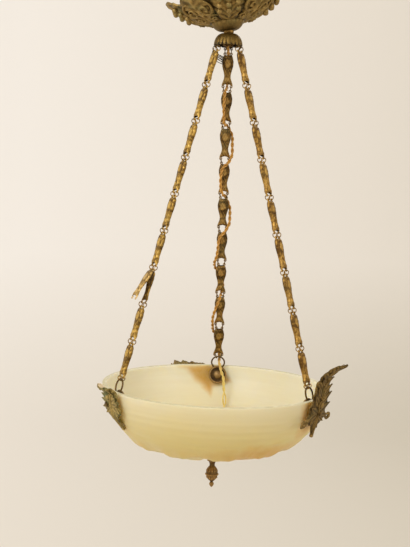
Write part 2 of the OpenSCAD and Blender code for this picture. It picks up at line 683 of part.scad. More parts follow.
// In the bowl a point is measured from the middle of the rim
in_bowl = [[18, 170, -8], [22, 165, -18], [23, 161, -30], [24, 157, -44], [25, 153, -58], [25, 146, -72],
    [21, 135, -79], [14, 114, -84], [5, 90, -83], [0, 72, -81]];

// The points were laid for a chain 618.5 long and a bowl 200 by 128, and follow both
lay_t = span / 618.5;
lay_bowl = [bowl_r / 200, bowl_r / 200, bowl_depth / 128];
function chain_point(p) =
    let (t = p[0] * lay_t + ear_drop, r = lug_r + t * sin(lean) + p[2] * cos(lean),
        z = lug_z - t * cos(lean) + p[2] * sin(lean))
    [r * sin(rear_az) - p[1] * cos(rear_az), r * cos(rear_az) + p[1] * sin(rear_az), z];
flex_points = concat([stem_mouth + [0, 0, 6], stem_mouth + [0, 1, -3]],
    [for (p = along_chain) chain_point(p)],
    [for (p = in_bowl) [for (k = [0:2]) p[k] * lay_bowl[k]] + [0, 0, rim_z]], [[0, holder_y + 7, lamp_z]]);

function unit(v) = v / norm(v);
function flat_side(d) = unit(cross(d, abs(d[0]) < 0.8 ? [1, 0, 0] : [0, 1, 0]));
function carried(side, d) = unit(side - (side * d) * d);
function direction(pts, i) = unit(pts[min(i + 1, len(pts) - 1)] - pts[max(i - 1, 0)]);
function sides(pts, i = 0, last = undef) = i == len(pts) ? [] :
    let (d = direction(pts, i), s = is_undef(last) ? flat_side(d) : carried(last, d))
    concat([s], sides(pts, i + 1, s));
module swept_tube(pts, r, n) {
    side = sides(pts);
    ring = [for (i = [0:len(pts) - 1]) let (d = direction(pts, i), c = cross(d, side[i]))
        for (k = [0:n - 1]) pts[i] + r * (cos(360 * k / n) * side[i] + sin(360 * k / n) * c)];
    last = (len(pts) - 1) * n;
    walls = [for (i = [0:len(pts) - 2]) for (k = [0:n - 1]) let (a = i * n + k, b = i * n + (k + 1) % n)
        each [[a, b, a + n], [b, b + n, a + n]]];
    caps = [for (k = [1:n - 2]) each [[0, k + 1, k], [last, last + k, last + k + 1]]];
    polyhedron(ring, concat(walls, caps));
}
module flex() color("goldenrod") swept_tube(flex_points, cord_r, 8);

ceiling_plate();
ceiling_hook();
terminal_block();
hanging_ring();
stem();
canopy();
ball_washer();
dome();
chain_plate();
plate_nut();
for (i = [1:links]) {
    left_link(i);
    right_link(i);
    rear_link(i);
}
loose_half_shell();
left_small_rings();
right_small_rings();
rear_small_rings();
end_rings();
bowl();
left_bracket();
right_bracket();
rear_bracket();
hanger_hooks();
bracket_bolts();
bracket_pads();
inner_rosettes();
bottom_rod();
rod_washers();
rod_nut();
finial();
lamp_bracket();
lampholder();
bulb();
flex();
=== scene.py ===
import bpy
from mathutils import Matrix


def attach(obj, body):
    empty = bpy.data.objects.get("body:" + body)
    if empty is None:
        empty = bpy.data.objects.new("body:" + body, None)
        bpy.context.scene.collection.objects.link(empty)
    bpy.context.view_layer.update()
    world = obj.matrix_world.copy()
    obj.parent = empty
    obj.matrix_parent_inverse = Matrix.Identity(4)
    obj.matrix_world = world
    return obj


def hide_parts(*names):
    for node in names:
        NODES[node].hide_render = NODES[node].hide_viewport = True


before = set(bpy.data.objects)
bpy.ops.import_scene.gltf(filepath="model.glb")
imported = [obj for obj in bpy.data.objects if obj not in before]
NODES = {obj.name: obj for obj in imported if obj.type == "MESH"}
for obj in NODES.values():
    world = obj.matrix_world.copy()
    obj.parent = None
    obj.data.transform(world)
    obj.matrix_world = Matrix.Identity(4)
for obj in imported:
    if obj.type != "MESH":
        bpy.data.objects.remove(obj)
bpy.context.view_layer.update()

from math import atan, cos, degrees, hypot, pi, sin

import bpy
import numpy as np
from mathutils import Matrix, Vector

scene = bpy.context.scene
FULL_TURN = 2 * pi

# Millimetres and degrees, as in the part's own source
REAR_AZ, RIGHT_AZ, LEFT_AZ = 3.6, 123.6, 243.6
RIM_Z = -715.0
BOWL_R, BOWL_TURN, BOWL_DEPTH, BOWL_WALL = 200.0, 98.0, 128.0, 7.0
SIDE_POWER, BOTTOM_POWER = 2.3, 1.45
FLAT_R, HOLE_R, BOLT_DROP = 26.0, 4.0, 20.0
LUG_R, LUG_Z, LEAN = 21.5, -124.5, 15.6884
PITCH, EAR_DROP, BODY_L, BODY_TOP, LINK_T = 65.4311, 4.17403, 53.083, 6.17403, 9.6
PLATE_W, BRACKET_T, DROP_V = 3.4, 3.5, -18.0
BODY_HIGH, BODY_LOW, LEFT_HIGH, LEFT_LOW, LEFT_BEND = 48.0, 40.0, 23.0, 48.0, 26.0
REAR_SLEW, LEFT_SLIP, RIGHT_SLIP = -79.0, 13.0, -4.0
NECK_Z, CANOPY_TILT, CANOPY_R, CANOPY_H = -97.0, 8.7, 103.0, 64.0
BOSS_R, BOSS_H = 27.5, 14.5
DOME_Z, DOME_H, DOME_R, DOME_NECK, DOME_HOLE = -101.0, 21.0, 25.0, 8.0, 5.2
ROSETTE_W, HUB_L = -10.55, 6.3
SIDE_DEEP = BOWL_TURN * 9 / 7


def side_r(d):
    """The side's outer radius at a depth below the rim."""
    return BOWL_R * (1 - (d / SIDE_DEEP) ** 2) ** (1 / SIDE_POWER)


TURN_R = side_r(BOWL_TURN)


def bottom_d(r):
    """The bottom's depth below the rim at a radius."""
    return BOWL_DEPTH - (BOWL_DEPTH - BOWL_TURN) * (r / TURN_R) ** BOTTOM_POWER


BOWL_LOW = bottom_d(FLAT_R)
BOWL_FLOOR = BOWL_LOW - BOWL_WALL
FINIAL_Z = RIM_Z - BOWL_LOW - 0.3
BOLT_R, BOLT_Z = side_r(BOLT_DROP), RIM_Z - BOLT_DROP
WALL_SLOPE = degrees(atan((side_r(BOLT_DROP - 5) - side_r(BOLT_DROP + 5)) / 10))


def rad(a):
    return a * pi / 180


class Place:
    """A right-handed place in the frame: an origin and three axes, in millimetres."""

    def __init__(self, origin, x, y, z):
        self.origin = np.array(origin, float)
        self.axes = np.array([x, y, z], float)

    def __call__(self, p):
        return self.origin + np.asarray(p, float) @ self.axes


def azimuth_axes(az):
    """Outwards at an azimuth, along the rim there, and up."""
    a = rad(az)
    outwards, along = [sin(a), cos(a), 0], [-cos(a), sin(a), 0]
    return np.array(outwards), np.array(along), np.array([0, 0, 1.0])


def wall_place(az, turn=0.0, slip=0.0):
    """X along the bolt outwards, Y along the rim, Z up the wall; turn is about the bolt, slip along Y."""
    x, y, z = azimuth_axes(az)
    s, t = rad(WALL_SLOPE), rad(turn)
    wx, wz = x * cos(s) - z * sin(s), x * sin(s) + z * cos(s)
    ty, tz = y * cos(t) + wz * sin(t), wz * cos(t) - y * sin(t)
    return Place(x * BOLT_R + z * BOLT_Z + ty * slip, wx, ty, tz)


def chain_place(az, t):
    """A place t down a chain: X outwards across it, Y sideways, Z back up it."""
    x, y, z = azimuth_axes(az)
    s = rad(LEAN)
    cx, cz = x * cos(s) + z * sin(s), z * cos(s) - x * sin(s)
    return Place(x * LUG_R + z * LUG_Z - cz * t, cx, y, cz)


def tilted_place():
    """The canopy's neck, with the canopy's axis as Z."""
    t = rad(CANOPY_TILT)
    return Place([0, 0, NECK_Z], [cos(t), 0, sin(t)], [0, 1, 0], [-sin(t), 0, cos(t)])


def same(p):
    """The place for points that are already in the frame."""
    return np.asarray(p, float)


# Curves
def ease(a, b, x):
    t = np.clip((np.asarray(x, float) - a) / (b - a), 0, 1)
    return t * t * (3 - 2 * t)


def turns(n):
    """n angles once round, in radians."""
    return np.linspace(0, FULL_TURN, n, endpoint=False)


def circle(r, z, th):
    """Points at a radius and a height, at angles round the Z axis."""
    return np.stack([r * np.cos(th), r * np.sin(th), z + 0 * th], -1)


def turned_on_x(profile, n, y=0.0, z=0.0):
    """Rings round an axis along X, from pairs of a distance along it and a radius."""
    x, r = np.array(profile).T
    t = turns(n)[:, None]
    return np.stack([x + 0 * t, y + r * np.cos(t), z + r * np.sin(t)], -1)


def curve_of(points, n):
    """n points on a smooth line through the given ones."""
    pts = np.asarray(points, float)
    ext = np.vstack([2 * pts[0] - pts[1], pts, 2 * pts[-1] - pts[-2]])
    out = []
    for x in np.linspace(0, len(pts) - 1, n):
        i = min(int(x), len(pts) - 2)
        f = x - i
        p0, p1, p2, p3 = ext[i:i + 4]
        bend = (2 * p0 - 5 * p1 + 4 * p2 - p3) * f * f + (3 * p1 - p0 - 3 * p2 + p3) * f ** 3
        out.append(0.5 * (2 * p1 + (p2 - p0) * f + bend))
    return np.array(out)


def directions(path):
    """The direction of a path at each of its points."""
    way = np.gradient(path, axis=0)
    return way / (np.linalg.norm(way, axis=1)[:, None] + 1e-12)


def across(path):
    """Two directions square to a path at each point, carried along without a twist."""
    tangent = directions(path)
    side = np.cross(tangent[0], [0, 0, 1.0] if abs(tangent[0][2]) < 0.8 else [1.0, 0, 0])
    pairs = []
    for t in tangent:
        side = side - t * side.dot(t)
        side /= np.linalg.norm(side)
        pairs.append((side, np.cross(t, side)))
    return pairs


# Mesh building
def add(name, data):
    """Put an object with this data into the scene."""
    obj = bpy.data.objects.new(name, data)
    scene.collection.objects.link(obj)
    return obj


def set_values(data, name, values):
    """Give each point of a mesh a number that its material reads."""
    data.attributes.new(name, "FLOAT", "POINT").data.foreach_set("value", np.asarray(values, np.float32))


class Builder:
    """Collects surfaces into one mesh; relief is 0 in a hollow and 1 on a ridge, and on some pieces also
    holds painted shade.
    """

    def __init__(self):
        self.points, self.faces, self.relief, self.slots, self.count = [], [], [], [], 0

    def grid(self, points, relief=0.5, wrap=False, wrap_v=False, mat=0, flip=False):
        """Faces between rows of points; wrap closes the rows into a ring, flip turns the faces."""
        nu, nv = points.shape[:2]
        base = self.count
        for i in range(nu if wrap else nu - 1):
            row, following = base + i * nv, base + (i + 1) % nu * nv
            for j in range(nv if wrap_v else nv - 1):
                k = (j + 1) % nv
                a, b, c, d = row + j, following + j, following + k, row + k
                self.faces.append((a, d, c, b) if flip else (a, b, c, d))
        self.slots += [mat] * (len(self.faces) - len(self.slots))
        self.points.append(points.reshape(-1, 3))
        self.relief.append(np.clip(np.broadcast_to(relief, (nu, nv)), 0, 1).ravel())
        self.count += nu * nv

    def ball(self, place, centre, r, squash=(1, 1, 1), relief=0.8, nu=14, nv=9):
        a = turns(nu)[:, None]
        b = np.linspace(0.001, pi - 0.001, nv)[None, :]
        p = np.stack([np.cos(a) * np.sin(b), np.sin(a) * np.sin(b), np.cos(b) + 0 * a], -1)
        self.grid(place(p * r * np.array(squash) + np.array(centre, float)), relief, wrap=True, flip=True)

    def bead(self, place, centre, r):
        self.ball(place, centre, r, relief=0.9, nu=8, nv=6)

    def tube(self, place, path, radius, sides=8, relief=0.7):
        """A round rod along a path, with flat ends."""
        path = np.asarray(path, float)
        n = len(path)
        radius = np.broadcast_to(np.asarray(radius, float), (n,))
        ang = turns(sides)[:, None]
        rows = []
        for i, (side, other) in enumerate(across(path)):
            rows.append(path[i] + radius[i] * (np.cos(ang) * side + np.sin(ang) * other))
        first, last = self.count, self.count + n * sides - 1
        self.grid(place(np.array(rows)), relief, wrap_v=True)
        self.faces += [range(first, first + sides), range(last, last - sides, -1)]
        self.slots += [0, 0]

    def done(self, name, mats, body, replaces=(), slot=None):
        """Make the piece in metres and say what it rides on and stands for."""
        data = bpy.data.meshes.new(name)
        data.from_pydata((np.concatenate(self.points) / 1000.0).tolist(), [], self.faces)
        data.validate()
        set_values(data, "relief", np.concatenate(self.relief))
        for m in mats:
            data.materials.append(m)
        data.polygons.foreach_set("material_index", self.slots[:len(data.polygons)])
        data.shade_smooth()
        data.update()
        obj = add(name, data)
        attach(obj, body)
        if replaces:
            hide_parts(*replaces)
        return obj


# Materials
def lin(r, g, b):
    """An 8-bit sRGB colour in the linear values that Blender takes."""
    def one(c):
        c /= 255.0
        return c / 12.92 if c <= 0.04045 else ((c + 0.055) / 1.055) ** 2.4
    return (one(r), one(g), one(b), 1.0)


def set_inputs(node, **values):
    """Set a node's own values; an underscore in a name stands for a blank."""
    for key, value in values.items():
        node.inputs[key.replace("_", " ")].default_value = value


class Mat:
    """A material with helpers for its nodes; colours are three 8-bit sRGB numbers."""

    def __init__(self, name, **sockets):
        self.m = bpy.data.materials.new(name)
        self.m.use_nodes = True
        self.tree = self.m.node_tree
        self.bsdf = self.tree.nodes["Principled BSDF"]
        set_inputs(self.bsdf, **sockets)
        self.coord = self.node("ShaderNodeTexCoord").outputs["Object"]

    def node(self, kind, **props):
        n = self.tree.nodes.new(kind)
        for key, value in props.items():
            setattr(n, key, value)
        return n

    def link(self, a, b):
        self.tree.links.new(a, b)

    def feed(self, sockets, values):
        """Give each socket its number, colour or link."""
        for socket, x in zip(sockets, values):
            if isinstance(x, tuple):
                socket.default_value = lin(*x)
            elif isinstance(x, (int, float)):
                socket.default_value = x
            elif x is not None:
                self.link(x, socket)

    def noise(self, scale, detail=4.0, stretch=None, rough=0.55, distort=0.0):
        n = self.node("ShaderNodeTexNoise")
        set_inputs(n, Scale=scale, Detail=detail, Roughness=rough, Distortion=distort)
        where = self.coord
        if stretch:
            mapping = self.node("ShaderNodeMapping")
            set_inputs(mapping, Scale=stretch)
            self.link(self.coord, mapping.inputs["Vector"])
            where = mapping.outputs[0]
        self.link(where, n.inputs["Vector"])
        return n.outputs["Fac"]

    def along(self, axis):
        """A coordinate of the surface's point, in metres."""
        n = self.node("ShaderNodeSeparateXYZ")
        self.link(self.coord, n.inputs[0])
        return n.outputs[axis]

    def ramp(self, fac, stops):
        n = self.node("ShaderNodeValToRGB")
        while len(n.color_ramp.elements) < len(stops):
            n.color_ramp.elements.new(0.5)
        for element, (position, colour) in zip(n.color_ramp.elements, stops):
            element.position = position
            element.color = lin(*colour)
        self.link(fac, n.inputs["Fac"])
        return n.outputs["Color"]

    def math(self, op, a, b, c=None):
        n = self.node("ShaderNodeMath", operation=op)
        self.feed(n.inputs, (a, b, c))
        return n.outputs[0]

    def sway(self, x, amount):
        """A value from 0 to 1, moved to lie about nought."""
        return self.math("MULTIPLY", self.math("SUBTRACT", x, 0.5), amount)

    def span(self, x, low, high, to_low=0.0, to_high=1.0):
        n = self.node("ShaderNodeMapRange")
        set_inputs(n, From_Min=low, From_Max=high, To_Min=to_low, To_Max=to_high)
        self.link(x, n.inputs["Value"])
        return n.outputs[0]

    def mix(self, fac, a, b):
        n = self.node("ShaderNodeMix", data_type="RGBA")
        self.feed((n.inputs[0], n.inputs[6], n.inputs[7]), (fac, a, b))
        return n.outputs[2]

    def attribute(self, name):
        return self.node("ShaderNodeAttribute", attribute_name=name).outputs["Fac"]

    def bump(self, height, strength, distance):
        n = self.node("ShaderNodeBump")
        set_inputs(n, Strength=strength, Distance=distance)
        self.link(height, n.inputs["Height"])
        self.link(n.outputs[0], self.bsdf.inputs["Normal"])

    def out(self, socket, x):
        self.link(x, self.bsdf.inputs[socket])


def metal(name, hollow, body, ridge, patina, mottle=0.3, green=0.3, rough=(0.38, 0.62), metallic=0.75,
          relief=True):
    """Old gilt brass: dark in the hollows, worn bright on the ridges, with blotches of patina; its relief
    also holds painted shade on some pieces.
    """
    m = Mat(name, Metallic=metallic)
    blotch = m.noise(38, 6, rough=0.65)
    grain = m.noise(420, 3)
    spots = m.noise(170, 4, rough=0.6)
    # Wear from the relief, which on some pieces also holds painted shade
    wear_and_shade = m.attribute("relief") if relief else m.noise(90, 5)
    for noise, amount in ((blotch, 0.9), (grain, 0.35), (spots, mottle)):
        wear_and_shade = m.math("ADD", wear_and_shade, m.sway(noise, amount))
    colour = m.ramp(wear_and_shade, [(0.12, hollow), (0.48, body), (0.9, ridge)])
    cover = m.math("MULTIPLY", m.span(m.noise(24, 7, rough=0.7, distort=0.6), 0.5, 0.66), green)
    m.out("Base Color", m.mix(cover, colour, patina))
    m.out("Roughness", m.span(blotch, 0.3, 0.7, rough[0], rough[1]))
    m.bump(m.math("ADD", grain, m.math("MULTIPLY", m.math("ADD", blotch, spots), 0.6)), 0.35, 0.0006)
    return m.m


M_GILT = metal("gilt_brass", (100, 72, 26), (192, 154, 74), (236, 206, 124), (136, 122, 76), 1.0)
M_RIGHT = metal("brown_gilt_brass", (98, 68, 24), (178, 138, 66), (222, 186, 106), (120, 106, 64), 1.0)
M_PALE = metal("pale_brass", (128, 98, 48), (204, 170, 104), (238, 214, 160), (150, 140, 100), 0.8)
M_REAR = metal("brown_brass", (74, 54, 22), (154, 120, 62), (204, 170, 104), (116, 112, 74), 0.8, 0.4)
M_CAST = metal("olive_bronze", (70, 56, 24), (136, 111, 60), (182, 154, 94), (104, 112, 72),
               0.3, 0.5, (0.45, 0.7))
M_OLIVE = metal("dark_olive_bronze", (44, 32, 10), (102, 80, 38), (158, 130, 76), (86, 88, 52),
                0.7, 0.5, (0.45, 0.7))
M_DOME = metal("smooth_bronze", (40, 28, 8), (114, 90, 40), (142, 114, 58), (96, 94, 54),
               0.3, 0.35, (0.4, 0.6))
M_LEAF = metal("green_bronze", (56, 46, 22), (126, 106, 62), (170, 146, 94), (104, 116, 82),
               0.6, 0.5, (0.48, 0.74))
M_SAGE = metal("sage_bronze", (74, 62, 26), (140, 122, 66), (192, 168, 104), (104, 118, 82),
               0.9, 0.9, (0.5, 0.76), 0.6)
M_TAN = metal("tan_bronze", (126, 100, 60), (190, 164, 116), (220, 198, 152), (150, 140, 102),
              0.5, metallic=0.4)
M_PLAIN = metal("plain_brass", (70, 48, 18), (138, 104, 48), (196, 158, 88), (110, 104, 64), relief=False)
M_DARK = metal("dark_plain_brass", (46, 32, 14), (98, 74, 36), (150, 120, 68), (92, 90, 58), relief=False)
M_ROSE = metal("rose_brass", (50, 34, 12), (108, 80, 38), (176, 144, 94), (98, 84, 54))
M_FINIAL = metal("brown_bronze", (58, 38, 14), (128, 96, 50), (188, 150, 92), (108, 100, 70),
                 0.3, 0.4, (0.42, 0.66))
M_STEEL = metal("zinc_steel", (110, 108, 102), (158, 156, 150), (198, 196, 190), (150, 128, 96),
                green=0.2, relief=False)


def satin_glass(name, high, low, deep):
    """Acid-finished glass: pale at the rim, ochre lower down, partly its own tone and partly painted light
    through it, with faint level bands and painted bracket shadows.
    """
    m = Mat(name, Roughness=0.42, Subsurface_Weight=0.85, Subsurface_Radius=(1.0, 0.85, 0.6),
            Subsurface_Scale=0.02, Specular_IOR_Level=0.35)
    # Paler high up by the rim and ochre lower down: the glass's own tone with painted light coming through
    # it
    height = m.math("ADD", m.along("Z"), m.sway(m.noise(5, 3), 0.05))
    colour = m.ramp(m.span(height, -0.85, RIM_Z / 1000), [(0.0, deep), (0.45, low), (1.0, high)])
    bands = m.noise(14, 5, stretch=(0.5, 0.5, 9.0))
    colour = m.mix(m.span(bands, 0.35, 0.75, 0.0, 0.1), colour, (196, 172, 104))
    cloud = m.noise(9, 4)
    colour = m.mix(m.span(cloud, 0.45, 0.75, 0.0, 0.25), colour, high)
    specks = m.noise(70, 3, stretch=(1, 1, 3))
    colour = m.mix(m.span(specks, 0.7, 0.8, 0.0, 0.14), colour, (176, 152, 92))
    # Painted shadows of the brackets seen through the glass, mixed in orange-brown where strong, and made
    # patchy
    painted_shadow = m.attribute("painted_shadow")
    shadow_patches = m.span(m.math("ADD", painted_shadow, m.sway(m.noise(34, 6, rough=0.65), 0.7)), 0.15, 1.0)
    shadow_patches = m.math("MULTIPLY", shadow_patches, m.span(painted_shadow, 0.0, 0.2))
    m.out("Base Color", m.mix(shadow_patches, colour, (205, 163, 72)))
    m.bump(m.noise(300, 3), 0.15, 0.0005)
    return m.m


# Outside and inside of one glass; the inside is painted paler, as a lit copy of the outside
M_OUT = satin_glass("satin_glass_outside", (216, 211, 188), (214, 204, 150), (224, 204, 120))
M_IN = satin_glass("satin_glass_inside", (230, 227, 211), (226, 218, 187), (221, 207, 160))


def simple(name, colour, second, rough, scale, bump, in_bowl=None, **sockets):
    """One noise mixes two near colours, or two others below the rim, and makes the roughness and bump."""
    m = Mat(name, **sockets)
    n = m.noise(scale, 4)
    shade = m.span(n, 0.35, 0.7)
    shown = m.mix(shade, colour, second)
    if in_bowl:
        above_rim = m.span(m.along("Z"), (RIM_Z - 20) / 1000, (RIM_Z + 25) / 1000)
        shown = m.mix(above_rim, m.mix(shade, *in_bowl), shown)
    m.out("Base Color", shown)
    m.out("Roughness", m.span(n, 0.3, 0.7, rough - 0.06, rough + 0.08))
    m.bump(n, bump, 0.0004)
    return m.m


# Gold braid, brown along the chain and paler below the bowl's rim
M_FLEX = simple("gold_flex", (206, 156, 70), (172, 122, 46), 0.42, 160, 0.2,
                ((240, 216, 128), (222, 194, 98)))
M_WIRE = simple("dark_wire", (52, 44, 30), (78, 66, 46), 0.5, 300, 0.2, Metallic=0.8)
M_BULB = simple("frosted_bulb", (238, 234, 222), (228, 222, 206), 0.32, 60, 0.05)
M_WHITE = simple("glazed_block", (222, 214, 196), (206, 196, 174), 0.28, 90, 0.1)
M_PAD = simple("leather_washer", (84, 66, 48), (60, 46, 34), 0.8, 240, 0.5)
M_LIP = simple("ground_rim", (206, 198, 160), (190, 180, 142), 0.5, 120, 0.2)

# Camera, fitted to the photo: place in metres; yaw, pitch and roll in degrees
CAMERA_AT, CAMERA_TURN = (-0.0744, -1.7647, -0.3718), (1.587, 4.744, 2.12)
FOCAL_PIXELS, PHOTO_WIDTH, SENSOR_WIDTH = 1005, 410, 36.0

scene.view_settings.view_transform = "Standard"


def photo_camera():
    data = bpy.data.cameras.new("camera")
    data.sensor_fit = "HORIZONTAL"
    data.sensor_width = SENSOR_WIDTH
    data.lens = SENSOR_WIDTH * FOCAL_PIXELS / PHOTO_WIDTH
    data.clip_end = 50
    camera = add("camera", data)
    yaw, pitch, roll = (rad(a) for a in CAMERA_TURN)
    ahead = Vector((sin(yaw) * cos(pitch), cos(yaw) * cos(pitch), -sin(pitch)))
    level = Vector((cos(yaw), -sin(yaw), 0))
    above = level.cross(ahead)
    right = level * cos(roll) + above * sin(roll)
    up = above * cos(roll) - level * sin(roll)
    camera.matrix_world = Matrix.Translation(CAMERA_AT) @ Matrix((right, up, -ahead)).transposed().to_4x4()
    scene.camera = camera


photo_camera()

# Light, in metres
LAMPS_AIM = (0, 0, -0.45)


def lamp(name, at, size, watts, colour):
    data = bpy.data.lights.new(name, "AREA")
    data.shape = "DISK"
    data.size = size
    data.energy = watts
    data.color = colour
    obj = add(name, data)
    obj.location = at
    obj.rotation_euler = (Vector(LAMPS_AIM) - Vector(at)).to_track_quat("-Z", "Y").to_euler()


lamp("key", (-1.5, -1.7, 0.9), 1.4, 38, (1.0, 0.985, 0.96))
lamp("fill", (1.9, -1.2, 0.1), 1.8, 15, (1.0, 0.97, 0.93))
lamp("back", (0.6, 2.1, 0.7), 1.6, 16, (1.0, 0.98, 0.94))

world = bpy.data.worlds.new("studio")
world.use_nodes = True
scene.world = world
set_inputs(world.node_tree.nodes["Background"], Color=(1.0, 0.975, 0.94, 1), Strength=0.72)

# Backdrop, in metres
FLOOR_Z, FLOOR_R, FLOOR_BEND, WALL_TOP = -1.5, 3.0, 1.2, 3.2


def backdrop_paper():
    """Pale paper, painted darker towards +X and downwards as shade away from the key light; what is seen is
    mostly its own glow.
    """
    m = Mat("backdrop_paper", Roughness=0.9)
    shade = m.math("MULTIPLY_ADD", m.along("X"), -0.26, m.span(m.along("Z"), FLOOR_Z, -0.75, 0.3, 0.75))
    colour = m.ramp(shade, [(0.0, (211, 200, 180)), (0.5, (236, 226, 211)), (1.0, (249, 241, 230))])
    m.out("Base Color", colour)
    glow = m.node("ShaderNodeEmission")
    m.link(colour, glow.inputs["Color"])
    rays = m.node("ShaderNodeLightPath").outputs
    seen = rays["Is Camera Ray"]
    for other in ("Is Glossy Ray", "Is Transmission Ray"):
        seen = m.math("MAXIMUM", seen, rays[other])
    blend = m.node("ShaderNodeMixShader")
    m.feed(blend.inputs, (m.math("MULTIPLY", seen, 0.86), m.bsdf.outputs[0], glow.outputs[0]))
    m.link(blend.outputs[0], m.tree.nodes["Material Output"].inputs["Surface"])
    return m.m


def backdrop():
    """A pale floor that curves up into a wall all round."""
    n = 96
    profile = []
    for a in np.linspace(0, pi / 2, 12):
        profile.append((FLOOR_R + FLOOR_BEND * sin(a), FLOOR_Z + FLOOR_BEND * (1 - cos(a))))
    profile += [(FLOOR_R + FLOOR_BEND, 1.0), (FLOOR_R + FLOOR_BEND, WALL_TOP)]
    verts = [(r * cos(a), r * sin(a), z) for r, z in profile for a in turns(n)]
    verts.append((0, 0, FLOOR_Z))
    faces = [(len(verts) - 1, (i + 1) % n, i) for i in range(n)]
    for row in range(0, (len(profile) - 1) * n, n):
        for i in range(n):
            k = (i + 1) % n
            faces.append((row + i, row + k, row + n + k, row + n + i))
    data = bpy.data.meshes.new("backdrop")
    data.from_pydata(verts, [], faces)
    data.shade_smooth()
    data.materials.append(backdrop_paper())
    add("backdrop", data)


backdrop()

# The flex, wound down the rear chain: distance down the chain, sideways, outwards
ALONG = [[2, 0, -8], [2, 0, 0], [2, 0, 6], [7, 0, 11], [18, 0, 10], [35, 0, 10], [52, 0, 10], [62, 0, 9],
         [65, 0, 3], [66, 1, -4], [70, 3, -10], [85, 4, -10], [105, 4, -10], [124, 3, -10], [130, 1, -5],
         [131, 0, 2], [132, -1, 8], [138, -5, 11], [152, -12, 8], [168, -13, 0], [184, -13, -4],
         [197, -7, -10], [208, 3, -10], [226, 6, -10], [246, 5, -10], [256, 2, -10], [261, 0, -4],
         [262, -1, 3], [264, -2, 9], [270, -5, 11], [286, -12, 7], [302, -13, 0], [316, -12, -5],
         [328, -5, -10], [342, 5, -10], [360, 7, -10], [378, 9, -9], [392, 13, -4], [404, 12, 5],
         [420, 5, 11], [438, -4, 11], [450, -3, 11], [457, -2, 6], [459, -1, -2], [462, 0, -9],
         [470, 3, -11], [484, 8, -10], [504, 13, -8], [522, 13, -2], [536, 12, 6], [550, 5, 11],
         [568, 0, 11], [584, -1, 11], [594, -2, 9], [600, -2, 4], [603, -3, -3], [606, -5, -9]]
# Then over the rim and down inside the bowl: X and Y, and height above the rim
IN_BOWL = [[18, 170, -8], [22, 165, -18], [23, 161, -30], [24, 157, -44], [25, 153, -58], [25, 146, -72],
           [21, 135, -79], [14, 114, -84], [5, 90, -83], [0, 72, -81]]
FLEX_START = [[0, 0, -117.2], [0, 1, -126.2]]
HOLDER_Y, LAMP_RISE = 57, 38
# The twist: the cores' radius, their distance from the middle, and the length of one turn
CORE_R, CORE_OUT, LAY = 1.55, 1.5, 21.0
# Where the cores part, inside the bowl: depth below the rim, Y beyond which it counts, and how far
EYE_DEPTH, EYE_Y, EYE_OPEN = 56, 140, 2.8


def flex_line():
    """The flex's middle, with a point each millimetre, and its length."""
    route = list(FLEX_START)
    for t, u, w in ALONG:
        route.append(chain_place(REAR_AZ, t + EAR_DROP)([w, u, 0]).tolist())
    route += [[x, y, z + RIM_Z] for x, y, z in IN_BOWL]
    route.append([0, HOLDER_Y, RIM_Z - BOWL_FLOOR + LAMP_RISE])
    line = curve_of(route, 1500)
    along = np.concatenate([[0], np.cumsum(np.linalg.norm(np.diff(line, axis=0), axis=1))])
    total = along[-1]
    at = np.linspace(0, total, int(total))
    return np.stack([np.interp(at, along, line[:, k]) for k in range(3)], -1), total


def flex():
    line, total = flex_line()
    past_eye = RIM_Z - line[:, 2] - EYE_DEPTH
    in_bowl = line[:, 1] > EYE_Y
    opened = np.exp(-(past_eye / 10.0) ** 4) * in_bowl
    reach = CORE_OUT + EYE_OPEN * np.exp(-(past_eye / 8.0) ** 2) * in_bowl
    turn = 0.9 + FULL_TURN * np.cumsum(1 - 0.92 * opened) * (total / len(line)) / LAY
    pairs = across(line)
    b = Builder()
    for start in (0, pi):
        path = []
        for point, out, ang, (side, other) in zip(line, reach, turn + start, pairs):
            path.append(point + out * (cos(ang) * side + sin(ang) * other))
        b.tube(same, path[::2], CORE_R, relief=0.6)
    obj = b.done("twisted_flex", [M_FLEX], "pendant", ["flex"], "gold_flex")


flex()


# Chain links: half width at shares of a link's length, drawn a little wider than the solids
LINK_AT = [0, 0.08, 0.22, 0.38, 0.55, 0.68, 0.78, 0.9, 1]
LINK_HALF = [6.2, 7.6, 9, 8.4, 6.2, 5, 5.4, 7.4, 8.8]
LINK_WIDER = 1.14
OVAL_AT, OVAL_L, OVAL_W = 0.27, 0.15, 5.6
KNOB_AT, KNOB_R = 0.8, 3.2
# The raised edge of a ring's eye: height and radius
EYELET = [(0.0, 2.75), (0.55, 2.75), (0.95, 2.3), (0.9, 1.7), (0.5, 1.35), (0.0, 1.35)]


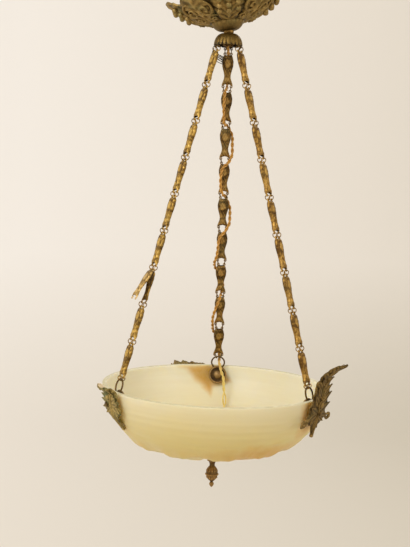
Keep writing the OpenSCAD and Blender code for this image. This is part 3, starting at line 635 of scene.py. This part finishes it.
def half_link(b, place, way):
    """One stamped half: crowned, with ribs, an oval and a round boss, and a fishtail end."""
    s = np.linspace(0, 1, 56)[:, None]
    a = np.linspace(-1, 1, 21)[None, :]
    half = np.interp(s, LINK_AT, LINK_HALF)
    half = (half + np.roll(half, 1, 0) + np.roll(half, -1, 0)) / 3
    half[0], half[-1] = LINK_HALF[0], LINK_HALF[-1]
    u = a * half * LINK_WIDER
    notch = 1 - np.abs(a)
    z = -BODY_TOP - BODY_L * s + 3.0 * notch * ease(0.86, 1.0, s)
    z = z - 0.8 * notch * (1 - ease(0.0, 0.1, s))
    crown = np.sqrt(np.clip(1 - (a * 0.985) ** 2, 0, 1)) ** 0.8
    chased = np.sin(34 * s + 1.1 * u + 1.6 * np.sin(1.3 * u)) * np.cos(1.25 * u - 9 * s)
    from_oval = ((s - OVAL_AT) / OVAL_L) ** 2 + (u / OVAL_W) ** 2
    oval = np.exp(-from_oval ** 2 * 1.3)
    ring = np.exp(-((np.sqrt(from_oval) - 1.12) / 0.12) ** 2)
    knob = np.exp(-(((s - KNOB_AT) * BODY_L / KNOB_R) ** 2 + (u / 3.0) ** 2) ** 2)
    ribs = 0.5 + 0.5 * np.cos(a * pi * 4.5)
    lower = ease(0.46, 0.56, s)
    petals = 0.5 + 0.5 * np.cos(a * pi * 5)
    ends = ease(0.9, 1.0, s) + 1 - ease(0.0, 0.07, s)
    relief = 0.36 + 0.5 * oval - 0.2 * ring + 0.5 * knob + 0.28 * ribs * lower * (1 - knob)
    relief = relief - 0.14 * petals * (1 - lower) * (1 - oval) + 0.24 * chased
    w = LINK_T / 2 * (0.32 + 0.56 * crown) + 1.1 * relief * crown ** 0.5 - 0.3
    w = w * (1 - 0.45 * ends) * np.where(np.abs(a) >= 0.999, 0.0, 1.0)
    w = np.clip(w, 0.05, LINK_T / 2 + 0.6)
    z = z + 0 * a
    b.grid(place(np.stack([way * w, u, z], -1)), relief * 0.75, flip=way > 0)
    b.grid(place(np.stack([way * np.clip(w - 0.8, 0.0, 9), u * 0.94, z], -1)), 0.15, flip=way < 0)
    for eye_u, eye_z in ((5.6, -EAR_DROP), (7.2, EAR_DROP - PITCH)):
        for side in (-1, 1):
            eyelet = turned_on_x([(way * h, r) for h, r in EYELET], 18, side * eye_u, eye_z)
            b.grid(place(eyelet), 0.55, wrap=True, flip=way < 0)


def link(name, az, i, mat, slot, halves=(1, -1)):
    b = Builder()
    place = chain_place(az, EAR_DROP + (i - 1) * PITCH)
    for way in halves:
        half_link(b, place, way)
    b.done(name + "_dressed", [mat], "pendant", [name], slot)


OPEN_LINK = 7
for i in range(1, 10):
    link("left_link_%d" % i, LEFT_AZ, i, M_GILT, "gilt_brass", (-1,) if i == OPEN_LINK else (1, -1))
    link("right_link_%d" % i, RIGHT_AZ, i, M_RIGHT, "gilt_brass")
    link("rear_link_%d" % i, REAR_AZ, i, M_REAR, "dark_brass")


def loose_half():
    """The half shell that hangs open on its upper rings."""
    base = chain_place(LEFT_AZ, EAR_DROP + (OPEN_LINK - 1) * PITCH)
    drop = EAR_DROP - 2.7
    a = rad(-18)
    x, y, z = base.axes
    out, up = x * cos(a) - z * sin(a), x * sin(a) + z * cos(a)
    hinge = Place(base([0.15, 0, -drop]), out, y, up)
    b = Builder()
    half_link(b, Place(hinge([0, 0, drop]), out, y, up), 1)
    b.done("loose_half_shell_dressed", [M_PALE], "loose_half_shell", ["loose_half_shell"], "gilt_brass")


loose_half()


def tie_wires():
    """Four turns of thin wire from the first left link to the first rear one."""
    left, rear = chain_place(LEFT_AZ, EAR_DROP), chain_place(REAR_AZ, EAR_DROP)
    b = Builder()
    for k in range(4):
        t = 2 + 3.6 * k
        p, q = left([1, -8.5, -t]), rear([-2, 8.5, -t - 7])
        mid = (p + q) / 2
        sag = np.array([0, -3.0, -2.0 + k])
        loop = [p + [1, 0, 3], p, mid + sag, q, q + [1, 2, -2], mid - sag * 0.6 + [0, 0, -3], p + [0, 2, -2],
                p + [1, 0, 3]]
        b.tube(same, curve_of(loop, 46), 0.6, 6, relief=0.3)
    b.done("tie_wires", [M_WIRE], "pendant", slot="dark_brass")


tie_wires()


# Dome
def dome():
    """A smooth dome with soft flutes low down, ending in arches of painted shade at its edge."""
    th = turns(240)[:, None]
    s = np.linspace(0, 1, 30)[None, :]
    a = s * pi / 2
    r = DOME_NECK + (DOME_R - DOME_NECK) * np.sin(a) ** 0.85
    z = DOME_Z - DOME_H * (1 - np.cos(a))
    furrow = 1 - np.abs(np.cos(th * 10)) ** 0.6
    rise = ease(0.3, 0.75, s)
    # Painted shade in arches along the lower edge, as in an undercut
    painted_arch_shade = ease(0.86, 0.97, s + 0.05 * furrow)
    lift = 1.4 * furrow * ease(0.9, 1.0, s)
    r_out, z_out = r - 1.1 * furrow * rise, z + lift
    r_in = np.maximum(r - 1.6 - 0.9 * furrow * rise, DOME_HOLE)
    z_in = np.clip(z - 1.0, DOME_Z - DOME_H, DOME_Z - 1.0) + lift
    relief = 0.62 - 0.3 * furrow * rise - 0.55 * painted_arch_shade * (0.15 + furrow)
    b = Builder()
    b.grid(circle(r_out, z_out, th), relief, wrap=True)
    b.grid(circle(r_in, z_in, th), 0.05, wrap=True, flip=True)
    t = th[:, 0]
    edge = [circle(r_out[:, -1], z_out[:, -1], t), circle(r_in[:, -1], z_in[:, -1], t)]
    neck = [circle(DOME_HOLE, DOME_Z - 0.2, t), circle(r_out[:, 0], z_out[:, 0], t)]
    b.grid(np.stack(edge, 1), 0.1, wrap=True)
    b.grid(np.stack(neck, 1), 0.4, wrap=True)
    b.done("dome_fluted", [M_DOME], "stem", ["dome"], "green_bronze")


dome()

# Canopy: an even number of leaves, every second one a main leaf
LEAVES = 8
# The round boss below, as radius and height above the neck
BOSS_CURVE = [[9.8, 0.5], [13, 0.6], [17.5, 2.0], [21.5, 4.6], [24.8, 8.0], [27.2, 12.2], [28.2, 15.5],
              [27.0, 19.0]]
# A main leaf's rows of beads: sideways, bead radius, and the radii that they lie at
HUSK = [(-15.8, 4.7, (66, 77, 87)), (0, 5.2, (66, 77, 87.5)), (15.8, 4.7, (69, 80, 89))]


def dish(r):
    """The canopy's height above its neck at a radius."""
    s = np.clip((r - BOSS_R) / (CANOPY_R - BOSS_R), 0, 1)
    return BOSS_H + (CANOPY_H - BOSS_H) * (0.85 * s ** 1.8 + 0.15 * s ** 10)


def volute(b, place, at, size, hand, lean, thick):
    """A scroll that winds in to a button, laid on the canopy at a radius and an angle."""
    r0, centre = at
    path, radius = [], []
    for t in np.linspace(0, 1, 44):
        a = hand * (t * 2.6 * pi) + lean
        d = size * (1 - 0.8 * t)
        r = r0 + d * sin(a)
        th = centre + d * cos(a) / r0
        path.append([r * cos(th), r * sin(th), dish(r) - 0.9 - 1.6 * t])
        radius.append(thick * (1 - 0.55 * t) * (0.35 + 0.65 * min(1, t * 6)))
    b.tube(place, path, radius, relief=0.62)
    b.ball(place, path[-1], thick * 0.85, relief=0.7)


def canopy_leaves(b, place):
    """The dish of leaves, with valleys between them and the main leaves' tips curled down."""
    th = turns(432)[:, None]
    s = np.linspace(0, 1, 64)[None, :]
    k = th / (FULL_TURN / LEAVES)
    # From -1 to 1 across a leaf, with 0 at its midrib
    phi = 2 * (k - np.round(k))
    main = (np.round(k) % 2 == 0) * 1.0
    edge = 1 - 0.17 * np.abs(phi) ** 2.2 - 0.05 * (1 - main)
    edge = edge - 0.011 * np.abs(np.sin(phi * pi * 2.5 + 0.4)) - 0.004 * np.sin(phi * 23)
    r = BOSS_R + s * ((CANOPY_R - BOSS_R) * (1 - (1 - edge) * ease(0.3, 1, s) * 1.2))
    h = dish(r) + 1.5 * ease(0.8, 1, s) * (np.abs(phi) ** 2)
    h = h - 8 * ease(0.84, 1, s) * main * (1 - np.abs(phi) ** 1.5)
    rib = np.exp(-(phi / 0.09) ** 2)
    veins = 0.5 + 0.5 * np.cos(FULL_TURN * (5.5 * s - 2.2 * np.abs(phi) - 0.3 * np.sin(5 * s)))
    lobes = 0.5 + 0.5 * np.cos(FULL_TURN * (2.4 * s - 1.3 * np.abs(phi)) + 0.8 * np.sin(3 * th))
    valley = ease(0.72, 1.0, np.abs(phi))
    swirl = 0.5 + 0.5 * np.sin(9 * s * pi + 6.0 * phi + 2.0 * np.sin(4 * th))
    relief = 0.2 + 0.3 * rib + 0.26 * veins + 0.2 * lobes + 0.16 * swirl - 0.45 * valley
    relief = relief * ease(0.0, 0.08, s)
    lift = 4.8 * relief * (0.25 + 0.75 * np.sin(pi * s ** 0.8))
    slope = np.arctan2(np.gradient(h, axis=1), np.gradient(r, axis=1))
    r_out = np.clip(r + lift * np.sin(slope), 0, CANOPY_R)
    h_out = h - lift * np.cos(slope)
    face = circle(r_out, h_out + 2.0, th)
    back = circle(r_out - 1.5, np.minimum(h_out + 5.0, CANOPY_H), th)
    b.grid(place(face), relief, wrap=True, flip=True)
    b.grid(place(back), 0.1, wrap=True)
    b.grid(place(np.stack([face[:, -1], back[:, -1]], 1)), 0.5, wrap=True, flip=True)


def canopy_boss(b, place):
    """The round boss below, with its collar of petals and its hollow inside."""
    n = 30
    ang = turns(180)[:, None]
    curve = curve_of(BOSS_CURVE, n)[None, :]
    petal = np.abs(np.cos(ang * 10)) ** 0.7
    collar = ease(0.6, 0.85, np.linspace(0, 1, n))[None, :]
    outside = circle(curve[..., 0] + 0.9 * (petal - 1) * collar, curve[..., 1], ang)
    b.grid(place(outside), 0.4 + 0.3 * collar * petal, wrap=True, flip=True)
    inside = [circle(r, z, ang[:, 0]) for r, z in ((9.8, 0.5), (7.4, 9.0), (25, 17.0))]
    b.grid(place(np.stack(inside, 1)), 0.1, wrap=True)


def canopy_husks(b, place):
    """Beads between scrolls, on the four main leaves."""
    for q in range(LEAVES // 2):
        front = (q - 1) * pi / 2
        out, along = circle(1.0, 0, front), circle(1.0, 0, front + pi / 2)
        for side, bead_r, radii in HUSK:
            for r in radii:
                b.ball(place, out * r + along * side + [0, 0, dish(r) - 2.6], bead_r, relief=0.66)
        for hand in (-1, 1):
            volute(b, place, (73, front + hand * 0.58), 15, hand, 1.2, 3.0)
            volute(b, place, (52, front + hand * 0.5), 8.5, -hand, 0.4, 2.4)


def canopy():
    b, place = Builder(), tilted_place()
    canopy_leaves(b, place)
    canopy_boss(b, place)
    canopy_husks(b, place)
    b.done("canopy_leafy", [M_CAST], "canopy", ["canopy"], "green_bronze")


canopy()


# Bowl
def bowl_profile():
    """The outside and the inside as radius and height from the rim, and the way inwards."""
    side = [[side_r(d), -d] for d in np.linspace(0, BOWL_TURN, 48)]
    bottom = [[r, -bottom_d(r)] for r in np.linspace(TURN_R, FLAT_R, 36)[1:]]
    out = np.array(side + bottom + [[19.0, -BOWL_LOW], [13.0, -BOWL_LOW]])
    along = directions(out)
    inward = np.stack([along[:, 1], -along[:, 0]], -1)
    inner = out + BOWL_WALL * inward
    inner[0] = [BOWL_R - BOWL_WALL, 0]
    inner[-2:] = [[19.0, -BOWL_FLOOR], [13.0, -BOWL_FLOOR]]
    inner[:, 1] = np.maximum(inner[:, 1], -BOWL_FLOOR)
    return out, inner, inward


# The rear bracket's shadow on the far wall: along the rim from the bolt, and down from the rim
SHADOW = [(-93, -4), (-84, 4), (-64, 12), (-50, 29), (-35, 40), (-21, 52), (-13, 59), (-6, 43), (9, 38),
          (30, 30), (17, 14), (11, -4)]
# The side brackets' shadows: azimuth, half length along the rim, how far down, and strength
SIDE_SHADOWS = [(RIGHT_AZ + 1, 37, 58, 0.6), (LEFT_AZ - 3, 32, 66, 0.3)]
SHADOW_R = 195.0


def degrees_from(az, centre):
    """The turn from one azimuth to another, from -180 to 180 degrees."""
    return (az - centre + 180) % 360 - 180


def depth_inside(x, y, outline):
    """How far points lie inside an outline; below nought outside it."""
    nearest = np.full(x.shape, 1e9)
    inside = np.zeros(x.shape, bool)
    for (x0, y0), (x1, y1) in zip(outline, outline[1:] + outline[:1]):
        dx, dy = x1 - x0, y1 - y0
        t = np.clip(((x - x0) * dx + (y - y0) * dy) / (dx * dx + dy * dy), 0, 1)
        nearest = np.minimum(nearest, np.hypot(x - x0 - t * dx, y - y0 - t * dy))
        crosses = (y0 > y) != (y1 > y)
        inside ^= crosses & (x < x0 + (y - y0) * dx / (dy if dy else 1e-9))
    return np.where(inside, nearest, -nearest)


def painted_shadow_map(points):
    """How strongly the brackets' painted shadows show on the glass, as if seen through it, at points in
    millimetres.
    """
    az = np.degrees(np.arctan2(points[..., 0], points[..., 1])) % 360
    drop = RIM_Z - points[..., 2]
    rear = rad(degrees_from(az, REAR_AZ)) * SHADOW_R
    out = ease(-8, 14, depth_inside(rear, drop, SHADOW)) * (0.5 + 0.5 * ease(-95, -20, rear))
    for centre, reach, low, depth in SIDE_SHADOWS:
        along = rad(degrees_from(az, centre)) * SHADOW_R
        edge = np.hypot(along / reach, (drop - 0.4 * low) / (0.75 * low))
        out = np.maximum(out, depth * (1 - ease(0.75, 1.45, edge)))
    # A faint orange tint low on the right, in the painted shadows' colour
    low_right = np.exp(-(degrees_from(az, 148) / 36) ** 2) * ease(52, 98, drop)
    return np.clip(np.maximum(out, 0.75 * low_right), 0, 1)


# The carving's lobes, an azimuth between two of them, and where it is strongest
LOBES, NOTCH_AZ, STRONG_AZ = 11, 224.5, 240


def carving(az, d, r):
    """How far the carving stands out from the plain bowl: petals in two tiers, with furrows."""
    turn = (az - NOTCH_AZ) * LOBES / 360
    petal = np.abs(np.sin(pi * turn))
    second = np.abs(np.cos(pi * turn))
    strong = 0.35 + 0.325 * (np.cos(np.radians(az - STRONG_AZ)) + 1)
    low = ease(68, 96, d) * ease(34, 62, r)
    out = (6.5 * petal ** 0.6 - 1.0) * strong * low
    out += 0.8 * np.cos(FULL_TURN * 3 * turn) * low
    out += 1.4 * ease(-3, 3, d - 74 + 8 * petal) * (1 - ease(60, 40, r))
    out -= 1.6 * ease(-2, 2, d - 101 + 5 * second) * ease(40, 60, r)
    out += 0.3 * np.sin(0.5 * d + 0.8 * np.sin(np.radians(2 * az))) * ease(14, 30, d) * (1 - low)
    return out * ease(26, 40, r)


def bowl():
    th = turns(440)[:, None]
    out, inner, inward = bowl_profile()
    proud = carving((90 - np.degrees(th)) % 360, -out[None, :, 1], out[None, :, 0])
    carved = [out[None, :, k] - inward[None, :, k] * proud for k in (0, 1)]
    lip = np.array([[-BOWL_WALL, 0], [1.5 - BOWL_WALL, 0.9], [-1.5, 0.9], [0, 0]]) + [BOWL_R, 0]
    hole = np.array([[13, -BOWL_LOW], [HOLE_R, -BOWL_LOW], [HOLE_R, -BOWL_FLOOR], [13, -BOWL_FLOOR]])
    b = Builder()
    for (r, z), mat in ((carved, 0), (inner[None, ::-1].T, 1), (lip[None].T, 2), (hole[None].T, 0)):
        r, z = (r.T, z.T) if mat or len(r) == 4 else (r, z)
        b.grid(circle(r, RIM_Z + z, th), wrap=True, mat=mat, flip=True)
    obj = b.done("glass_bowl", [M_OUT, M_IN, M_LIP], "pendant", ["bowl"], "satin_glass")
    # Each point of the glass gets the brackets' painted shadow
    set_values(obj.data, "painted_shadow", painted_shadow_map(np.array([v.co[:] for v in obj.data.vertices]) * 1000))


bowl()


# Brackets
class Sheet:
    """A bracket's bent sheet: distances up it, sideways and off its middle give a point."""

    def __init__(self, place, high, low, bend, leaf):
        self.place = place
        reach = low + DROP_V + 3.5
        bent = np.array([-sin(rad(bend)), -cos(rad(bend))])
        foot = np.array([PLATE_W + BRACKET_T / 2, DROP_V])
        points = [foot + reach * bent, foot + 4 * bent, foot]
        points += [foot + [0, high * 0.5 - DROP_V], foot + [0, high - DROP_V]]
        up = [DROP_V - reach, DROP_V - 4, DROP_V, high * 0.5, high]
        for length, angle, _ in leaf:
            points.append(points[-1] + length * np.array([sin(rad(angle)), cos(rad(angle))]))
            up.append(up[-1] + length)
        self.low, self.high, self.top = up[0], high, up[-1]
        self.at = np.linspace(up[0], up[-1], 240)
        points = np.array(points)
        self.mid = np.stack([np.interp(self.at, up, points[:, k]) for k in (0, 1)], -1)
        for _ in range(14):
            self.mid[1:-1] = (self.mid[:-2] + 2 * self.mid[1:-1] + self.mid[2:]) / 4
        self.tangent = directions(self.mid)

    def __call__(self, up, side, height):
        up, side, height = np.broadcast_arrays(up, side, height)
        m = [np.interp(up, self.at, self.mid[:, k]) for k in (0, 1)]
        t = [np.interp(up, self.at, self.tangent[:, k]) for k in (0, 1)]
        return self.place(np.stack([m[0] + t[1] * height, side, m[1] - t[0] * height], -1))


def leaflet(b, sheet, root, tip, width, rise):
    """A pointed, crowned lobe with a groove down its middle and a tip that lifts."""
    s = np.linspace(0, 1, 11)[:, None]
    a = np.linspace(-1, 1, 9)[None, :]
    half = width / 2 * np.sin(pi * (0.14 + 0.86 * s) ** 0.85) + 0.12
    rise_v, rise_s = tip[0] - root[0], tip[1] - root[1]
    length = hypot(rise_v, rise_s)
    up = root[0] + rise_v * s - a * half * rise_s / length
    side = root[1] + rise_s * s + a * half * rise_v / length
    crown = np.sqrt(np.clip(1 - a ** 2, 0, 1))
    groove = np.exp(-(a / 0.24) ** 2)
    bed = BRACKET_T / 2 - 0.6 + rise * s ** 2
    front = bed + (2.6 * crown - 1.3 * groove) * (1 - 0.35 * s)
    shade = 0.8 * (0.35 + 0.65 * crown) - 0.55 * groove
    b.grid(sheet(up, side, front), shade, flip=True)
    b.grid(sheet(up, side, bed - 0.9 * crown), 0.2)


# A bracket's body on one side: half width and distance up, or a share of the body's height up
BODY_EDGE = [(16, DROP_V - 1.5), (20, -15), (28, -12), (31, -6), (25, 1)]
UPPER_EDGE = [(29, 0.28), (22, 0.5), (25, 0.7), (21, 1)]


def half_of_sheet(sheet, wide, drop, leaf):
    """The sheet's half width, as distances up it and the widths there."""
    low, high = sheet.low, sheet.high
    rows = [(low, 0.6), (low + 1.5, 2.9), (low + 5, 3.1 * drop), (low + 9, 4.6 * drop)]
    rows += [(DROP_V - 8, 8.6 * drop), (DROP_V - 4, 10 * drop)]
    rows += [(up, half * wide) for half, up in BODY_EDGE]
    rows += [(high * share, half * wide) for half, share in UPPER_EDGE]
    at, width = high, 42 * wide
    for length, _, end in leaf:
        rows += [(at + length * 0.55, width / 2 + 1), (at + length * 0.72, end / 2 - 1)]
        rows.append((at + length, end / 2))
        at, width = at + length, end
    return [r[0] for r in rows], [r[1] for r in rows]


def cast_sheet(b, sheet, rows, widths):
    """The plate under the lobes: veined, with a rib in front, and cupped towards its top."""
    up = np.linspace(sheet.low, sheet.top, 170)[:, None]
    a = np.linspace(-1, 1, 41)[None, :]
    half = np.interp(up, rows, widths)
    top = ease(sheet.high * 0.75, sheet.high * 1.1, up)
    veins = np.abs(np.sin(0.42 * up - 0.36 * np.abs(a * half)))
    scallop = 0.9 * (veins[:, :1] - 0.5) * ease(4, 12, half)
    side = a * (half + scallop)
    rib = np.exp(-(side / 2.4) ** 2)
    relief = 0.2 + 0.5 * veins ** 0.7 * (0.5 + 0.5 * top) + 0.35 * rib
    thick = BRACKET_T / 2 + (1.7 * relief - 0.4) * ease(2, 8, half)
    thick = thick * np.sqrt(np.clip(1 - np.abs(a) ** 8, 0, 1)) * ease(-1, 3, half) + 0.2
    cup = 2.6 * top * a ** 2 * ease(2, 10, half)
    front = sheet(up, side, thick - cup)
    back = sheet(up, side, -BRACKET_T / 2 + 0.3 - cup)
    b.grid(front, relief, flip=True)
    b.grid(back, 0.35 + 0.4 * veins, mat=1)
    for j in (0, -1):
        b.grid(np.stack([front[:, j], back[:, j]], 1), flip=j == 0)
        b.grid(np.stack([front[j], back[j]], 1), flip=j != 0)


def cast_lobes(b, sheet, wide, rows, widths):
    """Lobes on each side and down the middle, and the stem with its row of beads."""
    high, reach = sheet.high, sheet.top - sheet.high
    leaf_half = np.interp(high + reach * 0.5, rows, widths)
    # Root and tip as distances up and sideways, then width and the tip's lift
    lobes = [((2, 5), (high * 0.34, 30 * wide), 12, 1.8),
             ((high * 0.3, 4), (high * 0.76, 26 * wide), 12, 2.2),
             ((high * 0.62, 3), (high * 1.06, 21.5 * wide), 11, 2.0),
             ((0, 6), (-8, 32 * wide), 11, 1.2),
             ((-6, 4), (-17, 22 * wide), 10, 1.0),
             ((-13, 2), (DROP_V - 9, 8.5), 8, 0.6),
             ((high + reach * 0.06, 2), (high + reach * 0.3, 17.5 * wide), 9, 1.4),
             ((high + reach * 0.3, 1.5), (high + reach * 0.56, leaf_half), 7, 0.8)]
    for way in (-1, 1):
        for (root_up, root_side), (tip_up, tip_side), width, rise in lobes:
            root, tip = (root_up, way * root_side * wide), (tip_up, way * tip_side)
            leaflet(b, sheet, root, tip, width * (0.5 + 0.5 * wide), rise)
    leaflet(b, sheet, (high * 0.55, 0), (high + reach * 0.24, 0), 11 * wide, 3.2)
    leaflet(b, sheet, (high + reach * 0.34, 0), (sheet.top - 1, 0), 8 * wide, 0.4)
    leaflet(b, sheet, (-4, 0), (sheet.low + 6, 0), 8, 0.5)
    foot, tip = sheet.low + 3, sheet.top - 4
    stem = np.linspace(foot, tip, 60)
    b.tube(same, sheet(stem, 0, 2.6), np.interp(stem, [foot, 0, high, tip], [1.1, 2.2, 1.8, 0.7]), 7)
    for k in range(6):
        b.ball(same, sheet(high * 0.42 + k * 0.1 * high, 0, 4.6), 1.9 - 0.15 * k, relief=0.95, nu=10, nv=7)
    b.ball(same, sheet(sheet.low + 3.2, 0, 0.4), 3.5, relief=0.85)


# Turned forms, as distance outwards and radius: the foot on the bolt, and the boss above it, off the plate
FOOT = [(1.5, 2.7), (1.5, 5.9), (PLATE_W, 6.1), (PLATE_W + 5.2, 6.1), (PLATE_W + 5.9, 5.4),
        (PLATE_W + 5.9, 2.7)]
BOSS = [(3.0, 8.4), (6.4, 8.3), (7.2, 7.2), (6.6, 6.2), (8.2, 5.4), (9.3, 3.8), (9.8, 1.8), (9.9, 0.02)]
BOSS_SHADE = [0.2, 0.75, 0.6, 0.1, 0.6, 0.8, 0.9, 0.9]
BOSS_UP, CURL_OUT = 16, 41.5


def bolted_parts(b, sheet, at_bolt):
    b.grid(at_bolt(turned_on_x(FOOT, 28)), 0.35, wrap=True)
    boss = turned_on_x([(PLATE_W + d, r) for d, r in BOSS], 28, 0, BOSS_UP)
    b.grid(sheet.place(boss), BOSS_SHADE, wrap=True, flip=True)


def side_curl(b, place, way, wide):
    """A scroll beside the drop, on a curved arm with a row of beads."""
    w = PLATE_W + BRACKET_T / 2
    f = np.linspace(0, 1, 44)
    ang = rad(115) - f * FULL_TURN * 1.3
    d = 5.2 * (1 - 0.75 * f)
    side = way * (CURL_OUT * wide + d * np.cos(ang))
    roll = np.stack([w + 0.6 + 1.8 * f, side, -12.5 + d * np.sin(ang)], -1)
    b.tube(place, roll, np.linspace(2.1, 1.2, 44), relief=0.75)
    b.ball(place, [w + 2.6, way * CURL_OUT * wide, -12.4], 2.3, relief=0.9)
    bends = [(w, 24, -7), (w + 1, 31, -12), (w + 1, 37, -16.5), (w, 43, -17.5)]
    arm = curve_of([(x, way * y * wide, z) for x, y, z in bends], 20)
    b.tube(place, arm, np.linspace(3.0, 1.9, 20), relief=0.6)
    for k in range(4):
        at = [w + 1.8, way * (28 + 4 * k) * wide, -6.4 - 0.5 * k]
        b.ball(place, at, 2.0 - 0.15 * k, relief=0.95, nu=10, nv=7)


def bracket(name, az, turn, form, wide, slip, curls, leaf, body, node, mats):
    """An acanthus bracket: lobes on a cast sheet, a bent leaf above, a drop and curls below."""
    high, low, bend, drop = form
    sheet = Sheet(wall_place(az, turn, slip), high, low, bend, leaf)
    rows, widths = half_of_sheet(sheet, wide, drop, leaf)
    b = Builder()
    cast_sheet(b, sheet, rows, widths)
    cast_lobes(b, sheet, wide, rows, widths)
    bolted_parts(b, sheet, wall_place(az, turn))
    for way in curls:
        side_curl(b, sheet.place, way, wide)
    b.done(name, mats, body, [node], "green_bronze")


# A bracket's form: body's height, reach below, the drop's bend inwards and its width
LEFT_FORM, FULL_FORM = (LEFT_HIGH, LEFT_LOW, LEFT_BEND, 1.45), (BODY_HIGH, BODY_LOW, 0, 1)
# A leaf's stretches: length, lean outwards, and width at the end
LONG_LEAF = [(16, 8, 36), (19, 31, 26), (25, 49, 5)]
SLIM_LEAF = [(16, 8, 24), (19, 31, 18), (25, 49, 5)]
SHORT_LEAF = [(11, 38, 44), (9, 76, 28)]
bracket("left_acanthus", LEFT_AZ, 0, LEFT_FORM, 1.1, LEFT_SLIP, (), SHORT_LEAF,
        "pendant", "left_bracket", [M_SAGE, M_TAN])
bracket("right_acanthus", RIGHT_AZ, 0, FULL_FORM, 1.15, RIGHT_SLIP, (-1, 1), LONG_LEAF,
        "pendant", "right_bracket", [M_OLIVE, M_OLIVE])
bracket("rear_acanthus", REAR_AZ, REAR_SLEW, FULL_FORM, 0.66, 0, (1,), SLIM_LEAF,
        "rear_bracket", "rear_bracket", [M_LEAF, M_LEAF])

# Rosettes inside the rim, from the hub to the middle: radius, height off the seat, shade
ROSETTE = [(5.2, 0.1, 0.2), (5.4, HUB_L + 1.6, 0.1), (14.4, HUB_L + 1.4, 0.1), (15.6, HUB_L + 0.1, 0.3),
           (17.3, HUB_L + 0.1, 0.5), (17.4, HUB_L + 2.0, 0.6), (16.2, HUB_L + 3.2, 0.7),
           (14.9, HUB_L + 3.4, 0.6), (13.6, HUB_L + 2.6, 0.2), (11, HUB_L + 2.4, 0.15),
           (8.2, HUB_L + 2.7, 0.25), (6.6, HUB_L + 3.4, 0.6), (5.4, HUB_L + 5.2, 0.8),
           (3.6, HUB_L + 5.4, 0.8), (2.6, HUB_L + 5.5, 0.8)]
ROSETTE_BEADS, BEADS_R, BEAD_R = 30, 15.2, 1.45


def rosettes():
    r, d, shade = np.array(ROSETTE).T
    x = turns(96)[:, None]
    flutes = 0.5 * (1 - np.abs(np.cos(8 * x))) * ((8 < r) & (r < 14))
    cup = np.stack([ROSETTE_W - d - flutes, r * np.cos(x), r * np.sin(x)], -1)
    b = Builder()
    for az in (LEFT_AZ, RIGHT_AZ, REAR_AZ):
        place = wall_place(az)
        b.grid(place(cup), shade, wrap=True)
        for a in turns(ROSETTE_BEADS):
            b.bead(place, [ROSETTE_W - HUB_L - 3.0, BEADS_R * cos(a), BEADS_R * sin(a)], BEAD_R)
        b.ball(place, [ROSETTE_W - HUB_L - 5.2, 0, 0], 3.6, (0.75, 1, 1), relief=1.0)
    b.done("beaded_rosettes", [M_ROSE], "pendant", ["inner_rosettes"], "dark_brass")


rosettes()

# Finial: radius and distance down, from its cup to its bud
TURNED = [[3.2, 0.05], [16.8, 0.05], [17, 1.0], [16.8, 2.0], [13.5, 3.5], [11.4, 5.6], [10, 8], [8.2, 10],
          [9, 10.4], [9.2, 11.6], [9, 13.1], [7, 14.1], [6, 15.2], [4.9, 18], [4.6, 21.2], [5.2, 23],
          [6.5, 24.2], [8.2, 26.4], [9.4, 28.4], [10.4, 32.4], [10.5, 35.6], [11, 36.8], [11.1, 37.7],
          [11, 38.8], [10.3, 40], [9.6, 42.4], [8.4, 45.4], [6, 48], [4, 49.7], [2.5, 51], [2.3, 51.4],
          [3.5, 53.2], [4.3, 55.2], [4, 56.9], [3.2, 58.4], [1.6, 60.7], [0.05, 61.95]]
# Its shade, and the depth of its folds, at distances down
SHADE_AT = [0, 3, 9, 11, 14, 21, 26, 36, 44, 51, 54, 62]
SHADE = [0.4, 0.3, 0.3, 0.7, 0.4, 0.3, 0.6, 0.3, 0.6, 0.2, 0.7, 0.8]
FOLD_AT = [0, 23, 26, 34, 36, 40, 42, 47, 50, 52, 55, 60, 62]
FOLD = [0, 0, 0.9, 0.8, 0, 0, 0.9, 0.8, 0, 0.2, 0.5, 0.1, 0]
# Its rings of beads: how many, the ring's radius, distance down, and a bead's radius
BEAD_RINGS = [(24, 10.8, 37.7, 1.45), (12, 9.6, 30.6, 1.2), (12, 9.3, 43.4, 1.1)]


def finial():
    th = turns(144)[:, None]
    r, down = np.array(TURNED).T[:, None, :]
    fold = np.abs(np.cos(th * 6)) ** 0.7
    amount = np.interp(down, FOLD_AT, FOLD)
    shade = np.interp(down, SHADE_AT, SHADE) + 0.35 * (fold - 0.6) * amount
    b = Builder()
    b.grid(circle(r - 1.2 * (1 - fold) * amount, FINIAL_Z - down, th), shade, wrap=True, flip=True)
    for count, ring_r, at, bead_r in BEAD_RINGS:
        for a in turns(count):
            b.bead(same, [ring_r * cos(a), ring_r * sin(a), FINIAL_Z - at], bead_r)
    b.done("chased_finial", [M_FINIAL], "finial", ["finial"], "gilt_brass")


finial()

# Pieces from the CAD that keep their shape
KEPT = [(M_STEEL, ["ceiling_plate", "lamp_bracket"]),
        (M_WHITE, ["terminal_block"]),
        (M_DARK, ["ceiling_hook", "hanging_ring", "chain_plate", "rear_small_rings", "end_rings",
                  "hanger_hooks", "bracket_bolts"]),
        (M_PLAIN, ["stem", "ball_washer", "plate_nut", "left_small_rings", "right_small_rings", "bottom_rod",
                   "rod_washers", "rod_nut", "lampholder"]),
        (M_PAD, ["bracket_pads"]),
        (M_BULB, ["bulb"])]
for mat, names in KEPT:
    for name in names:
        NODES[name].data.materials.clear()
        NODES[name].data.materials.append(mat)

bpy.context.view_layer.update()
